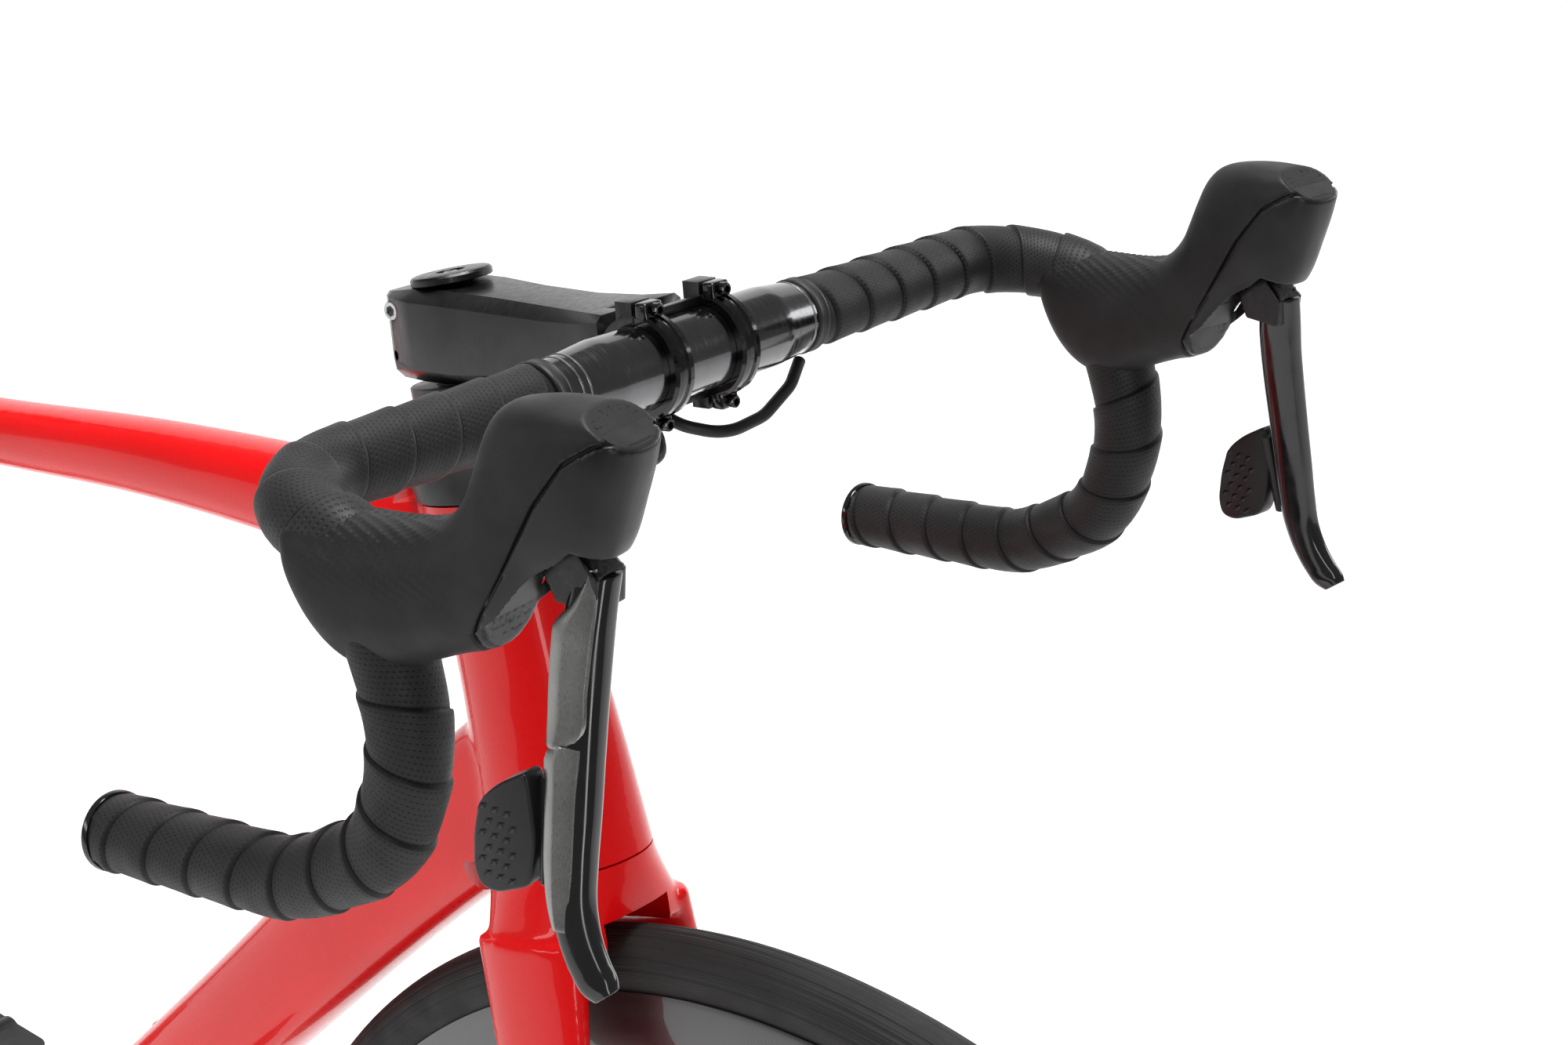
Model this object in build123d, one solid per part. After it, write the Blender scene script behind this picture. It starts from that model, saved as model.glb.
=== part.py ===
from build123d import *
import os
from math import asin, atan2, cos, pi, radians, sin, sqrt, tan

os.makedirs("parts", exist_ok=True)

# A racing bicycle with drop handlebars, disc brakes and electronic shifting.
# Millimetres. +X is forward, +Y is the rider's left, +Z is up.
# The origin is on the ground, halfway between the two axles.

# ---------------------------------------------------------------- sizes
WHEELBASE = 981.0
WHEEL_RADIUS = 340.0
TYRE_WIDTH = 28.0
BEAD_RADIUS = 311.0
RIM_DEPTH = 45.0
HEAD_ANGLE = 73.4
FORK_RAKE = 43.0
CROWN_TO_AXLE = 368.7
HEAD_LENGTH = 153.0
SEAT_ANGLE = 73.5
SEAT_TUBE_LENGTH = 515.0
BB_DROP = 70.0
CHAINSTAY_LENGTH = 408.0
TUBE_WALL = 2.2
FRONT_OLD = 100.0
REAR_OLD = 142.0
AXLE_RADIUS = 6.0
RUN = 0.05
GAP = 0.3

STEERER_RADIUS = 14.3
LOWER_SEAT_RADIUS = 20.0
LOWER_BEARING_RADIUS = 26.0
UPPER_BEARING_RADIUS = 21.0
BEARING_HEIGHT = 7.0
STEM_LENGTH = 116.0
STEM_ANGLE = -8.0
STEM_HEIGHT = 39.0
STEM_RISE = 219.6
BAR_CLAMP_RADIUS = 15.9
BAR_RADIUS = 11.9
TAPE_THICK = 2.6
BAR_HALF = 205.0
POST_RADIUS = 13.6
SADDLE_TOP = 980.0
SADDLE_LENGTH = 268.0
SADDLE_WIDTH = 143.0
CRANK_LENGTH = 172.5
PEDAL_FACE = 73.0
SPINDLE_RADIUS = 12.0
SHELL_RADIUS = 25.0
SHELL_WIDTH = 86.0
SHELL_BORE = 20.5

PITCH = 12.7
BIG_RING = 52
SMALL_RING = 36
COGS = (11, 12, 13, 14, 15, 17, 19, 21, 23, 25, 28)
CHAIN_COG = 5
COG_STEP = 3.74
COG_THICK = 1.6
FIRST_COG_Y = -66.3
PULLEY_TEETH = (12, 14)
FRONT_ROTOR = 80.0
REAR_ROTOR = 70.0
ROTOR_THICK = 1.8
FRONT_ROTOR_Y = 37.0
REAR_ROTOR_Y = 55.7
PAD_THICK = 3.4
PAD_GAP = 0.45
SPOKES = 24
SPOKE_RADIUS = 0.9
LEVER_TURN = 6.5
LEVER_FLARE = 11.7

# ---------------------------------------------------------------- places
FRONT_AXLE = Vector(WHEELBASE / 2, 0, WHEEL_RADIUS)
REAR_AXLE = Vector(-WHEELBASE / 2, 0, WHEEL_RADIUS)
BB_Z = WHEEL_RADIUS - BB_DROP
BB = Vector(-WHEELBASE / 2 + sqrt(CHAINSTAY_LENGTH**2 - BB_DROP**2), 0, BB_Z)
UP = Vector(-cos(radians(HEAD_ANGLE)), 0, sin(radians(HEAD_ANGLE)))
AHEAD = Vector(sin(radians(HEAD_ANGLE)), 0, cos(radians(HEAD_ANGLE)))
CROWN = FRONT_AXLE - AHEAD * FORK_RAKE + UP * CROWN_TO_AXLE
SEAT_UP = Vector(-cos(radians(SEAT_ANGLE)), 0, sin(radians(SEAT_ANGLE)))
SEAT_AHEAD = Vector(sin(radians(SEAT_ANGLE)), 0, cos(radians(SEAT_ANGLE)))
SEAT_TOP = BB + SEAT_UP * SEAT_TUBE_LENGTH
STEM_CENTRE = CROWN + UP * STEM_RISE
STEM_TILT = 90 - HEAD_ANGLE + STEM_ANGLE
STEM_AHEAD = Vector(cos(radians(STEM_TILT)), 0, sin(radians(STEM_TILT)))
STEM_UP = Vector(-sin(radians(STEM_TILT)), 0, cos(radians(STEM_TILT)))
CLAMP = STEM_CENTRE + STEM_AHEAD * STEM_LENGTH
CHAIN_Y = FIRST_COG_Y + COG_STEP * CHAIN_COG


def head_point(rise, ahead=0.0, side=0.0):
    """A point given along the steering axis, ahead of it and to the side."""
    return CROWN + UP * rise + AHEAD * ahead + Vector(0, side, 0)


def bar_point(x, y, z):
    """A point given from the middle of the handlebar clamp."""
    return CLAMP + Vector(x, y, z)


def pitch_radius(teeth):
    return PITCH / 2 / sin(pi / teeth)


def save(name, *shapes):
    solids = [s for shape in shapes for s in shape.solids()]
    whole = solids[0] if len(solids) == 1 else Compound(children=solids)
    export_step(whole, f"parts/{name}.step")


def rod(start, end, radius, end_radius=None):
    """A round bar or a cone between two points."""
    run = end - start
    place = Plane(origin=start, z_dir=run.normalized())
    if end_radius is None:
        return extrude(place * Circle(radius), run.length)
    return loft([place * Circle(radius), Plane(origin=end, z_dir=run.normalized()) * Circle(end_radius)])


def ring(centre, outer, inner, low, high):
    """A flat ring about the Y axis, from one Y to another."""
    place = Plane(origin=(centre.X, high, centre.Z), x_dir=(1, 0, 0), z_dir=(0, -1, 0))
    return extrude(place * (Circle(outer) - Circle(inner)), high - low)


def disc(centre, radius, low, high):
    place = Plane(origin=(centre.X, high, centre.Z), x_dir=(1, 0, 0), z_dir=(0, -1, 0))
    return extrude(place * Circle(radius), high - low)


def block(centre, along, up, size):
    """A box centred on a point: size along, to the side and up."""
    place = Plane(origin=centre, x_dir=along, z_dir=up)
    return place.location * Box(*size)


def upright_block(centre, size):
    return block(centre, Vector(1, 0, 0), Vector(0, 0, 1), size)


def plate(points, low, high):
    """An outline given in X and Z, as a plate from one Y to another."""
    place = Plane(origin=(0, (low + high) / 2, 0), x_dir=(1, 0, 0), z_dir=(0, -1, 0))
    return extrude(place * Polygon(*points, align=None), (high - low) / 2, both=True)


def spar(stations, thinner=0.0):
    """A smooth bar through oval sections: (point, width, depth)."""
    faces = []
    for i, (point, width, depth) in enumerate(stations):
        before = stations[max(i - 1, 0)][0]
        after = stations[min(i + 1, len(stations) - 1)][0]
        place = Plane(origin=point, x_dir=(0, 1, 0), z_dir=(after - before).normalized())
        faces.append(place * Ellipse(width / 2 - thinner, depth / 2 - thinner))
    return loft(faces)


def shortened(stations, start, end):
    """The same stations with both end ones moved inwards."""
    first, second = stations[0], stations[1]
    last, before = stations[-1], stations[-2]
    head = first[0] + (second[0] - first[0]).normalized() * start
    tail = last[0] + (before[0] - last[0]).normalized() * end
    return [(head,) + tuple(first[1:])] + stations[1:-1] + [(tail,) + tuple(last[1:])]


def mirrored(shape):
    return mirror(shape, about=Plane.XZ)


# ---------------------------------------------------------------- frame
HEAD_SECTIONS = ((0.8, 64, 72, 0), (34, 58, 70, 0), (80, 50, 66, -1), (HEAD_LENGTH, 52, 66, -2))


def between(start, end, rows):
    """Stations from one end to the other: (share of the run, moved off it, width, depth)."""
    first, last = rows[0], rows[-1]
    stations = [(start, *first)]
    for share, ahead, side, rise, width, depth in rows[1:-1]:
        stations.append((start + (end - start) * share + Vector(ahead, side, rise), width, depth))
    return stations + [(end, *last)]


TOP_TUBE = between(
    SEAT_TOP - SEAT_UP * 27,
    head_point(128, -18),
    (
        (29, 31),
        (0.38, 1.6, 0, 5.0, 31, 32),
        (0.61, -0.4, 0, 9.1, 34, 36),
        (0.80, -1.7, 0, 7.6, 38, 42),
        (44, 52),
    ),
)
DOWN_TUBE = between(
    BB + Vector(4, 0, 8),
    head_point(40, -4),
    (
        (62, 50),
        (0.25, 1.2, 0, -0.1, 55, 56),
        (0.58, -1.1, 0, 0.7, 52, 57),
        (0.84, -0.6, 0, 4.2, 50, 62),
        (48, 66),
    ),
)
SEAT_TUBE = (
    (BB, 34, 40),
    (BB + SEAT_UP * 250, 31, 40),
    (BB + SEAT_UP * 440, 33, 38),
    (SEAT_TOP, 35, 35),
)
STAY_END_Y = REAR_OLD / 2 + 4.2
POST_DEPTH = 190.0


def stay_stations():
    """The chainstay on the left, from the bottom bracket to the axle."""
    start = BB + Vector(-6, 26, 0)
    end = REAR_AXLE + Vector(6, STAY_END_Y, -2)
    rows = (
        (17, 36),
        (0.14, -1.4, -5.4, -6.5, 15, 32),
        (0.25, -1.5, -5.3, -8.0, 15, 28),
        (0.52, -1.2, 2.4, -7.4, 14, 23),
        (0.83, -0.3, 4.7, -5.4, 12, 21),
        (7.6, 20),
    )
    return between(start, end, rows)


def seatstay_stations():
    """The seatstay on the left, from the seat tube to the axle."""
    start = BB + SEAT_UP * (SEAT_TUBE_LENGTH - 67) + Vector(-4, 11, 0)
    end = REAR_AXLE + Vector(4, STAY_END_Y, 6)
    rows = (
        (14, 28),
        (0.15, -2.2, -1.1, 3.5, 12, 22),
        (0.32, -4.9, -5.5, 3.6, 11, 19),
        (0.70, -3.5, -1.9, 0.9, 11, 17),
        (7.6, 17),
    )
    return between(start, end, rows)


def boss_places():
    """Bottle bosses: the mouth and the outward direction of each."""
    down = (DOWN_TUBE[2][0] - DOWN_TUBE[1][0]).normalized()
    out = Vector(-down.Z, 0, down.X)
    places = []
    for step in (-32.0, 32.0):
        mouth = DOWN_TUBE[1][0] + down * (70 + step) + out * 28.8
        places.append((mouth, out))
    for step in (-32.0, 32.0):
        mouth = BB + SEAT_UP * (235 + step) + SEAT_AHEAD * 20.6
        places.append((mouth, SEAT_AHEAD))
    return places


BOSS_RADIUS = 5.0
BOSS_BORE = 2.5
BOSS_LENGTH = 11.0


def make_frame():
    head = loft([
        Plane(origin=head_point(rise, shift), x_dir=(0, 1, 0), z_dir=UP) * Ellipse(width / 2, depth / 2)
        for rise, width, depth, shift in HEAD_SECTIONS
    ])
    chainstay = spar(stay_stations())
    seatstay = spar(seatstay_stations())
    inner = REAR_OLD / 2 + GAP
    dropout = disc(REAR_AXLE, 15, inner, inner + 8)
    hanger = plate(
        [
            (REAR_AXLE.X - 14, REAR_AXLE.Z + 2),
            (REAR_AXLE.X - 20, HANGER.Z - 8),
            (REAR_AXLE.X - 2, HANGER.Z - 8),
            (REAR_AXLE.X + 14, REAR_AXLE.Z - 4),
        ],
        -inner - 8,
        -inner,
    )
    pad = Pos(REAR_AXLE.X + 70, 69, REAR_AXLE.Z + REAR_FACE - 9) * Box(50, 12, 18)
    frame = head
    for piece in (
        spar(TOP_TUBE),
        spar(DOWN_TUBE),
        spar(list(SEAT_TUBE)),
        disc(BB, SHELL_RADIUS, -SHELL_WIDTH / 2, SHELL_WIDTH / 2),
        chainstay,
        mirrored(chainstay),
        seatstay,
        mirrored(seatstay),
        dropout,
        mirrored(dropout),
        hanger,
        pad,
    ):
        frame = frame + piece
    hollow_stay = shortened(stay_stations(), 45, 30)
    hollow_seatstay = shortened(seatstay_stations(), 40, 30)
    voids = [
        spar(shortened(TOP_TUBE, 42, 46), TUBE_WALL),
        spar(shortened(DOWN_TUBE, 62, 62), TUBE_WALL),
        rod(BB + SEAT_UP * 62, BB + SEAT_UP * (SEAT_TUBE_LENGTH - POST_DEPTH - 18), 11.5),
        spar(hollow_stay, 1.8),
        mirrored(spar(hollow_stay, 1.8)),
        spar(hollow_seatstay, 1.8),
        mirrored(spar(hollow_seatstay, 1.8)),
    ]
    for void in voids:
        frame = frame - void
    for mouth, out in boss_places():
        frame = frame + rod(mouth - out * BOSS_LENGTH, mouth, BOSS_RADIUS)
        frame = frame - rod(mouth - out * (BOSS_LENGTH - 1), mouth + out, BOSS_BORE)
    frame = frame - rod(SEAT_TOP - SEAT_UP * POST_DEPTH, SEAT_TOP + SEAT_UP * 30, POST_RADIUS + RUN)
    frame = frame - disc(BB, SHELL_BORE, -SHELL_WIDTH, SHELL_WIDTH)
    frame = frame - disc(REAR_AXLE, AXLE_RADIUS + RUN, -REAR_OLD, REAR_OLD)
    frame = frame - disc(HANGER, HANGER_BORE, -REAR_OLD, 0)
    frame = frame - rod(head_point(-80), head_point(0.8), CROWN_SWEEP)
    frame = frame - rod(head_point(HEAD_LENGTH), head_point(HEAD_LENGTH + 60), CROWN_SWEEP)
    frame = frame - rod(head_point(-20), head_point(66), 22)
    frame = frame - rod(head_point(60), head_point(HEAD_LENGTH + 40), 17)
    frame = frame - rod(head_point(-5), head_point(LOWER_TOP), LOWER_BEARING_RADIUS + RUN)
    frame = frame - rod(head_point(UPPER_LOW), head_point(HEAD_LENGTH + 40), UPPER_BEARING_RADIUS + RUN)
    return frame


LOWER_LOW = 1.5
LOWER_TOP = LOWER_LOW + BEARING_HEIGHT + 1
UPPER_LOW = HEAD_LENGTH - BEARING_HEIGHT - 1
HANGER = Vector(REAR_AXLE.X - 10, 0, REAR_AXLE.Z - 28)
HANGER_BORE = 5.0
CROWN_SWEEP = 48.0


def make_headset_bearings():
    lower = rod(head_point(LOWER_LOW), head_point(LOWER_TOP - 0.5), LOWER_BEARING_RADIUS)
    lower = lower - rod(head_point(-5), head_point(LOWER_TOP + 5), LOWER_SEAT_RADIUS)
    upper = rod(head_point(UPPER_LOW + 0.2), head_point(HEAD_LENGTH - 0.6), UPPER_BEARING_RADIUS)
    upper = upper - rod(head_point(UPPER_LOW - 5), head_point(HEAD_LENGTH + 5), STEERER_RADIUS + RUN)
    return lower, upper


def make_seat_clamp():
    """A collar on the top of the seat tube, with its bolt ears at the back."""
    high = 14.0
    place = SEAT_TOP + SEAT_UP * 0.3
    collar = rod(place, place + SEAT_UP * high, 18.5) + block(
        place + SEAT_UP * high / 2 - SEAT_AHEAD * 19, SEAT_AHEAD, SEAT_UP, (10, 14, high)
    )
    collar = collar - rod(place - SEAT_UP, place + SEAT_UP * (high + 1), POST_RADIUS + RUN)
    slot = block(place + SEAT_UP * high / 2 - SEAT_AHEAD * 20, SEAT_AHEAD, SEAT_UP, (18, 2, high + 2))
    return collar - slot


def make_bb_bearings():
    depth = 12.0
    edge = SHELL_WIDTH / 2
    left = ring(BB, SHELL_BORE - RUN, SPINDLE_RADIUS + RUN, edge - depth, edge + 0.5)
    return left, mirrored(left)


# ---------------------------------------------------------------- fork
LEG = (
    (head_point(-26, 0, 30), 24, 60),
    (head_point(-75, 0, 37), 17, 52),
    (head_point(-150, 1, 44), 14, 42),
    (head_point(-230, 8, 50), 13, 34),
    (head_point(-310, 24, 55), 11.5, 28),
    (head_point(-CROWN_TO_AXLE + 8, FORK_RAKE - 2, 55.6), 10.5, 24),
)


def make_fork():
    crown = loft([
        Plane(origin=head_point(rise), x_dir=(0, 1, 0), z_dir=UP) * RectangleRounded(width, depth, corner)
        for rise, width, depth, corner in ((0, 64, 72, 28), (-16, 72, 70, 26), (-34, 84, 64, 14))
    ])
    arch = ring(FRONT_AXLE, WHEEL_RADIUS + 7, 200, -TYRE_WIDTH / 2 - 5, TYRE_WIDTH / 2 + 5)
    leg = spar(list(LEG)) + disc(FRONT_AXLE, 13, FRONT_OLD / 2 + GAP, FRONT_OLD / 2 + 11)
    pad = block(
        head_point(FRONT_CALIPER_RISE, FRONT_CALIPER_FACE + 7.2, 51), AHEAD, UP, (14, 8, 54)
    )
    fork = crown + leg + mirrored(leg) + pad - arch
    steerer = rod(head_point(-20), head_point(0), LOWER_SEAT_RADIUS - RUN)
    steerer = steerer + rod(head_point(0), head_point(LOWER_TOP), LOWER_SEAT_RADIUS - RUN)
    steerer = steerer + rod(head_point(LOWER_TOP), head_point(62), LOWER_SEAT_RADIUS - RUN, STEERER_RADIUS)
    steerer = steerer + rod(head_point(62), head_point(STEM_RISE + STEM_HEIGHT / 2 - 2), STEERER_RADIUS)
    fork = fork + steerer
    fork = fork - rod(head_point(20), head_point(STEM_RISE + STEM_HEIGHT), STEERER_RADIUS - 3)
    fork = fork - disc(FRONT_AXLE, AXLE_RADIUS + RUN, -FRONT_OLD, FRONT_OLD)
    fork = fork - disc(FRONT_AXLE, FRONT_ROTOR + 1.5, -0.1, FRONT_ROTOR_Y + 3)
    return fork


# ---------------------------------------------------------------- brakes
FRONT_CALIPER_RISE = -CROWN_TO_AXLE + 62
FRONT_CALIPER_FACE = 2.0
CALIPER_DEEP = 27.0
REAR_FACE = -2.0
CALIPER_WIDE = 34.0
CALIPER_INNER = 25.4


def caliper(axle, radius, rotor_y, body, pad_centre, along, up):
    """A body cut for the rotor and its two pads, and the pads."""
    slot = ring(axle, radius + 2.2, 5, rotor_y - 1.9, rotor_y + 1.9)
    pocket = ROTOR_THICK / 2 + PAD_GAP + PAD_THICK + 0.6
    body = body - slot - block(pad_centre, along, up, (23, 2 * pocket, 21))
    offset = ROTOR_THICK / 2 + PAD_GAP + PAD_THICK / 2
    pads = []
    for side in (-1, 1):
        place = pad_centre + Vector(0, side * offset, 0)
        pads.append(block(place, along, up, (22, PAD_THICK, 20)))
    return body, pads


def make_front_brake():
    outer = FRONT_ROTOR_Y + CALIPER_WIDE / 2
    middle = (outer + CALIPER_INNER) / 2
    centre = head_point(FRONT_CALIPER_RISE, FRONT_CALIPER_FACE - CALIPER_DEEP / 2, middle)
    body = block(centre, AHEAD, UP, (CALIPER_DEEP, outer - CALIPER_INNER, 54))
    body = fillet(body.edges().filter_by(Axis.Y), 5)
    pad_centre = head_point(FRONT_CALIPER_RISE - 14, -12, FRONT_ROTOR_Y)
    return caliper(FRONT_AXLE, FRONT_ROTOR, FRONT_ROTOR_Y, body, pad_centre, AHEAD, UP)


def make_rear_brake():
    low = REAR_AXLE.Z + REAR_FACE + GAP
    centre = Vector(REAR_AXLE.X + 70, REAR_ROTOR_Y, low + CALIPER_DEEP / 2)
    body = block(centre, Vector(1, 0, 0), Vector(0, 0, 1), (50, CALIPER_WIDE, CALIPER_DEEP))
    body = fillet(body.edges().filter_by(Axis.Y), 5)
    pad_centre = Vector(REAR_AXLE.X + 57, REAR_ROTOR_Y, low + 13)
    return caliper(
        REAR_AXLE, REAR_ROTOR, REAR_ROTOR_Y, body, pad_centre, Vector(1, 0, 0), Vector(0, 0, 1)
    )


def make_rotor(axle, radius, y):
    """A braking band on five curved arms and a carrier."""
    low = y - ROTOR_THICK / 2
    high = y + ROTOR_THICK / 2
    rotor = ring(axle, radius, radius - 15, low, high) + ring(axle, 24, CARRIER_BORE, low, high)
    for i in range(5):
        turn = 2 * pi * i / 5
        start = axle + Vector(sin(turn), 0, cos(turn)) * 22
        end = axle + Vector(sin(turn + 0.5), 0, cos(turn + 0.5)) * (radius - 13)
        middle = (start + end) * 0.5
        along = (end - start).normalized()
        size = ((end - start).length + 6, ROTOR_THICK, 6)
        arm = block(Vector(middle.X, y, middle.Z), along, Vector(0, 1, 0).cross(along), size)
        rotor = rotor + arm
    return rotor


CARRIER_BORE = 17.0


# ---------------------------------------------------------------- wheels
RIM_TOP = BEAD_RADIUS + 4.6
WELL = 307.0
WELL_HALF = 9.6
RIM_INNER = RIM_TOP - RIM_DEPTH


def around(axle, sketch):
    """Turns an outline, drawn with radius up and Y across, about an axle."""
    return Pos(axle) * revolve(sketch, Axis.Y)


def radial_plane():
    """X of the outline is the radius, and Y of the outline is Y."""
    return Plane(origin=(0, 0, 0), x_dir=(1, 0, 0), z_dir=(0, 0, 1))


def both_sides(half):
    """An outline given on its low Y side, closed by its mirror image."""
    return [(radius, -y) for radius, y in half] + [(radius, y) for radius, y in reversed(half)]


def make_rim(axle):
    outer = both_sides((
        (RIM_TOP, 12.4),
        (RIM_TOP - 12, 14),
        (RIM_TOP - 28, 13),
        (RIM_INNER + 6, 8),
        (RIM_INNER, 2.5),
    ))
    hollow = both_sides((
        (WELL - 2.5, 10.5),
        (RIM_TOP - 14, 12.2),
        (RIM_TOP - 28, 11.2),
        (RIM_INNER + 7, 6.6),
        (RIM_INNER + 2.2, 2),
    ))
    face = radial_plane() * Polygon(*outer, align=None)
    face = face - Polygon(*hollow, align=None)
    face = face - Pos((WELL + RIM_TOP + 2) / 2, 0) * Rectangle(RIM_TOP + 2 - WELL, 2 * WELL_HALF)
    return around(axle, face)


def make_tyre(axle):
    centre = WHEEL_RADIUS - TYRE_WIDTH / 2
    half = TYRE_WIDTH / 2
    bead = WELL + 0.6
    face = Pos(centre, 0) * Circle(half)
    face = face + Pos((bead + centre - 4) / 2, 0) * Rectangle(centre - 4 - bead, 2 * (WELL_HALF - 0.1))
    face = face - Pos(centre, 0) * Circle(half - 2.2)
    face = face - Pos((bead + centre) / 2 - 2, 0) * Rectangle(centre - bead + 4, 2 * (WELL_HALF - 3))
    return around(axle, face)


def make_spokes(axle, flanges):
    """Crossed spokes with their nipples, on two flanges: (y, radius)."""
    pieces = []
    per_flange = SPOKES // 2
    for f, (flange_y, flange_radius) in enumerate(flanges):
        for i in range(per_flange):
            rim_turn = 2 * pi * (i + 0.5 * f) / per_flange
            lean = 0.95 if i % 2 == 0 else -0.95
            side = 2.7 if i % 2 == 0 else -2.7
            hub_turn = rim_turn + lean
            inward = 1 if flange_y > 0 else -1
            out = Vector(sin(hub_turn), 0, cos(hub_turn))
            foot = axle + out * flange_radius + Vector(0, flange_y + side, 0)
            out = Vector(sin(rim_turn), 0, cos(rim_turn))
            tip = axle + out * (RIM_INNER - 0.3) + Vector(0, inward * 1.2, 0)
            nipple = tip + (foot - tip).normalized() * 10
            pieces.append(rod(foot, nipple, SPOKE_RADIUS) + rod(nipple, tip, 1.8))
    return pieces


FRONT_FLANGES = ((-34.0, 19.0), (22.0, 19.0))
REAR_FLANGES = ((-19.0, 21.0), (36.0, 21.0))
FREEHUB_RADIUS = 17.0
FREEHUB_INNER = -27.0


def make_hub(axle, old, flanges, rotor_y, barrel):
    """Axle sleeve, shell, flanges and the seat of the brake rotor."""
    end = old / 2
    low = flanges[0][0]
    high = flanges[1][0]
    hub = disc(axle, 9, -end, end) + disc(axle, 13, low - 3, high + 3)
    hub = hub + disc(axle, CARRIER_BORE - RUN, high, rotor_y + 2.5)
    if barrel:
        hub = hub + disc(axle, FREEHUB_RADIUS - RUN, -end + 3, FREEHUB_INNER)
    for y, radius in flanges:
        hub = hub + disc(axle, radius + 1.5, y - 1.2, y + 1.2)
    return hub - disc(axle, AXLE_RADIUS + RUN, -old, old)


def make_axle(axle, old, grip):
    """A through axle with its head on the left."""
    end = old / 2 + grip
    return disc(axle, AXLE_RADIUS, -end, end) + disc(axle, 9, end, end + 3.5)


# ---------------------------------------------------------------- gears
def sprocket(centre, teeth, low, high, hole):
    """A toothed disc with its teeth at the chain's pitch."""
    pitch = pitch_radius(teeth)
    root = pitch - 3.6
    tip = pitch + 2.6
    points = []
    for i in range(teeth):
        turn = 2 * pi * (i + 0.5) / teeth
        step = 2 * pi / teeth
        for share, radius in ((-0.30, root), (-0.09, tip), (0.09, tip), (0.30, root)):
            angle = turn + share * step
            points.append((radius * sin(angle), radius * cos(angle)))
    place = Plane(origin=(centre.X, (low + high) / 2, centre.Z), x_dir=(1, 0, 0), z_dir=(0, -1, 0))
    return extrude(place * (Polygon(*points, align=None) - Circle(hole)), (high - low) / 2, both=True)


def make_cassette():
    """Eleven cogs and their spacers on one carrier."""
    bore = FREEHUB_RADIUS + RUN
    last = FIRST_COG_Y + (len(COGS) - 1) * COG_STEP + 1
    cassette = ring(REAR_AXLE, FREEHUB_RADIUS + 3.2, bore, FIRST_COG_Y + 6, last)
    cassette = cassette + ring(REAR_AXLE, FREEHUB_RADIUS + 2.4, bore, FIRST_COG_Y - 1.5, FIRST_COG_Y + 6)
    for i, teeth in enumerate(COGS):
        y = FIRST_COG_Y + COG_STEP * i
        low = y - COG_THICK / 2
        cassette = cassette + sprocket(REAR_AXLE, teeth, low, low + COG_THICK, FREEHUB_RADIUS + 1)
    return cassette - disc(REAR_AXLE, bore, -REAR_OLD, 0)


RING_BOLT_RADIUS = 55.0
SPIDER_LOW = CHAIN_Y + 1.2
SPIDER_HIGH = -SHELL_WIDTH / 2 - 0.7
SMALL_RING_Y = CHAIN_Y + 6.8


def bolt_places():
    for i in range(4):
        turn = radians(45 + 90 * i)
        yield BB + Vector(cos(turn) * RING_BOLT_RADIUS, 0, sin(turn) * RING_BOLT_RADIUS)


def make_chainrings():
    big = sprocket(BB, BIG_RING, CHAIN_Y - 0.9, CHAIN_Y + 0.9, 82)
    big = big + ring(BB, 90, 49, CHAIN_Y - 0.9, CHAIN_Y + 0.9)
    small = sprocket(BB, SMALL_RING, SMALL_RING_Y - 0.9, SMALL_RING_Y + 0.9, 49)
    rings = big + small
    for place in bolt_places():
        rings = rings + disc(place, 5, CHAIN_Y - 2, SMALL_RING_Y + 1.6)
    return rings


def arm_outline(side, end):
    """Sections of a crank arm: offset along it, middle, width, depth."""
    return [
        (0, side * 55, 15, 36),
        (60, side * 60.5, 13, 29),
        (120, side * 65, 12.5, 26),
        (end, side * 66.5, 12.5, 25),
    ]


def make_crank(side, direction):
    """An arm from the bottom bracket out to its pedal spindle."""
    faces = []
    for along, y, width, depth in arm_outline(side, CRANK_LENGTH):
        place = Plane(origin=BB + Vector(direction * along, y, 0), x_dir=(0, 1, 0), z_dir=(direction, 0, 0))
        faces.append(place * RectangleRounded(width, depth, 5))
    arm = loft(faces)
    low, high = sorted((side * (SHELL_WIDTH / 2 + 0.9), side * 63))
    arm = arm + disc(BB, 19, low, high)
    eye = BB + Vector(direction * CRANK_LENGTH, 0, 0)
    low, high = sorted((side * 60.3, side * PEDAL_FACE))
    arm = arm + disc(eye, 12.5, low, high)
    low, high = sorted((side * PEDAL_FACE, side * (PEDAL_FACE + 62)))
    arm = arm + disc(eye, 6, low, high)
    return arm


def make_right_crank():
    crank = make_crank(-1, 1)
    spider = disc(BB, 27, SPIDER_LOW, SPIDER_HIGH)
    for place in bolt_places():
        out = (place - BB).normalized()
        middle = BB + out * 36 + Vector(0, (SPIDER_LOW + SPIDER_HIGH) / 2, 0)
        spider = spider + block(middle, out, Vector(0, 1, 0).cross(out), (46, SPIDER_HIGH - SPIDER_LOW, 20))
    for place in bolt_places():
        spider = spider - disc(place, 5 + GAP, -100, 0)
    crank = crank + spider
    return crank + disc(BB, SPINDLE_RADIUS, -60, SHELL_WIDTH / 2 + 0.9)


def make_pedal(side, direction):
    """A pedal body around its spindle."""
    eye = BB + Vector(direction * CRANK_LENGTH, 0, 0)
    place = Plane(origin=eye + Vector(0, side * (PEDAL_FACE + 36), 0), x_dir=(1, 0, 0), z_dir=(0, 0, 1))
    body = extrude(place * RectangleRounded(84, 56, 12), 9, both=True)
    low, high = sorted((side * (PEDAL_FACE + 3), side * (PEDAL_FACE + 64)))
    body = body + disc(eye, 11, low, high)
    low, high = sorted((side * PEDAL_FACE, side * (PEDAL_FACE + 62.5)))
    return body - disc(eye, 6 + RUN, low, high)


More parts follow.
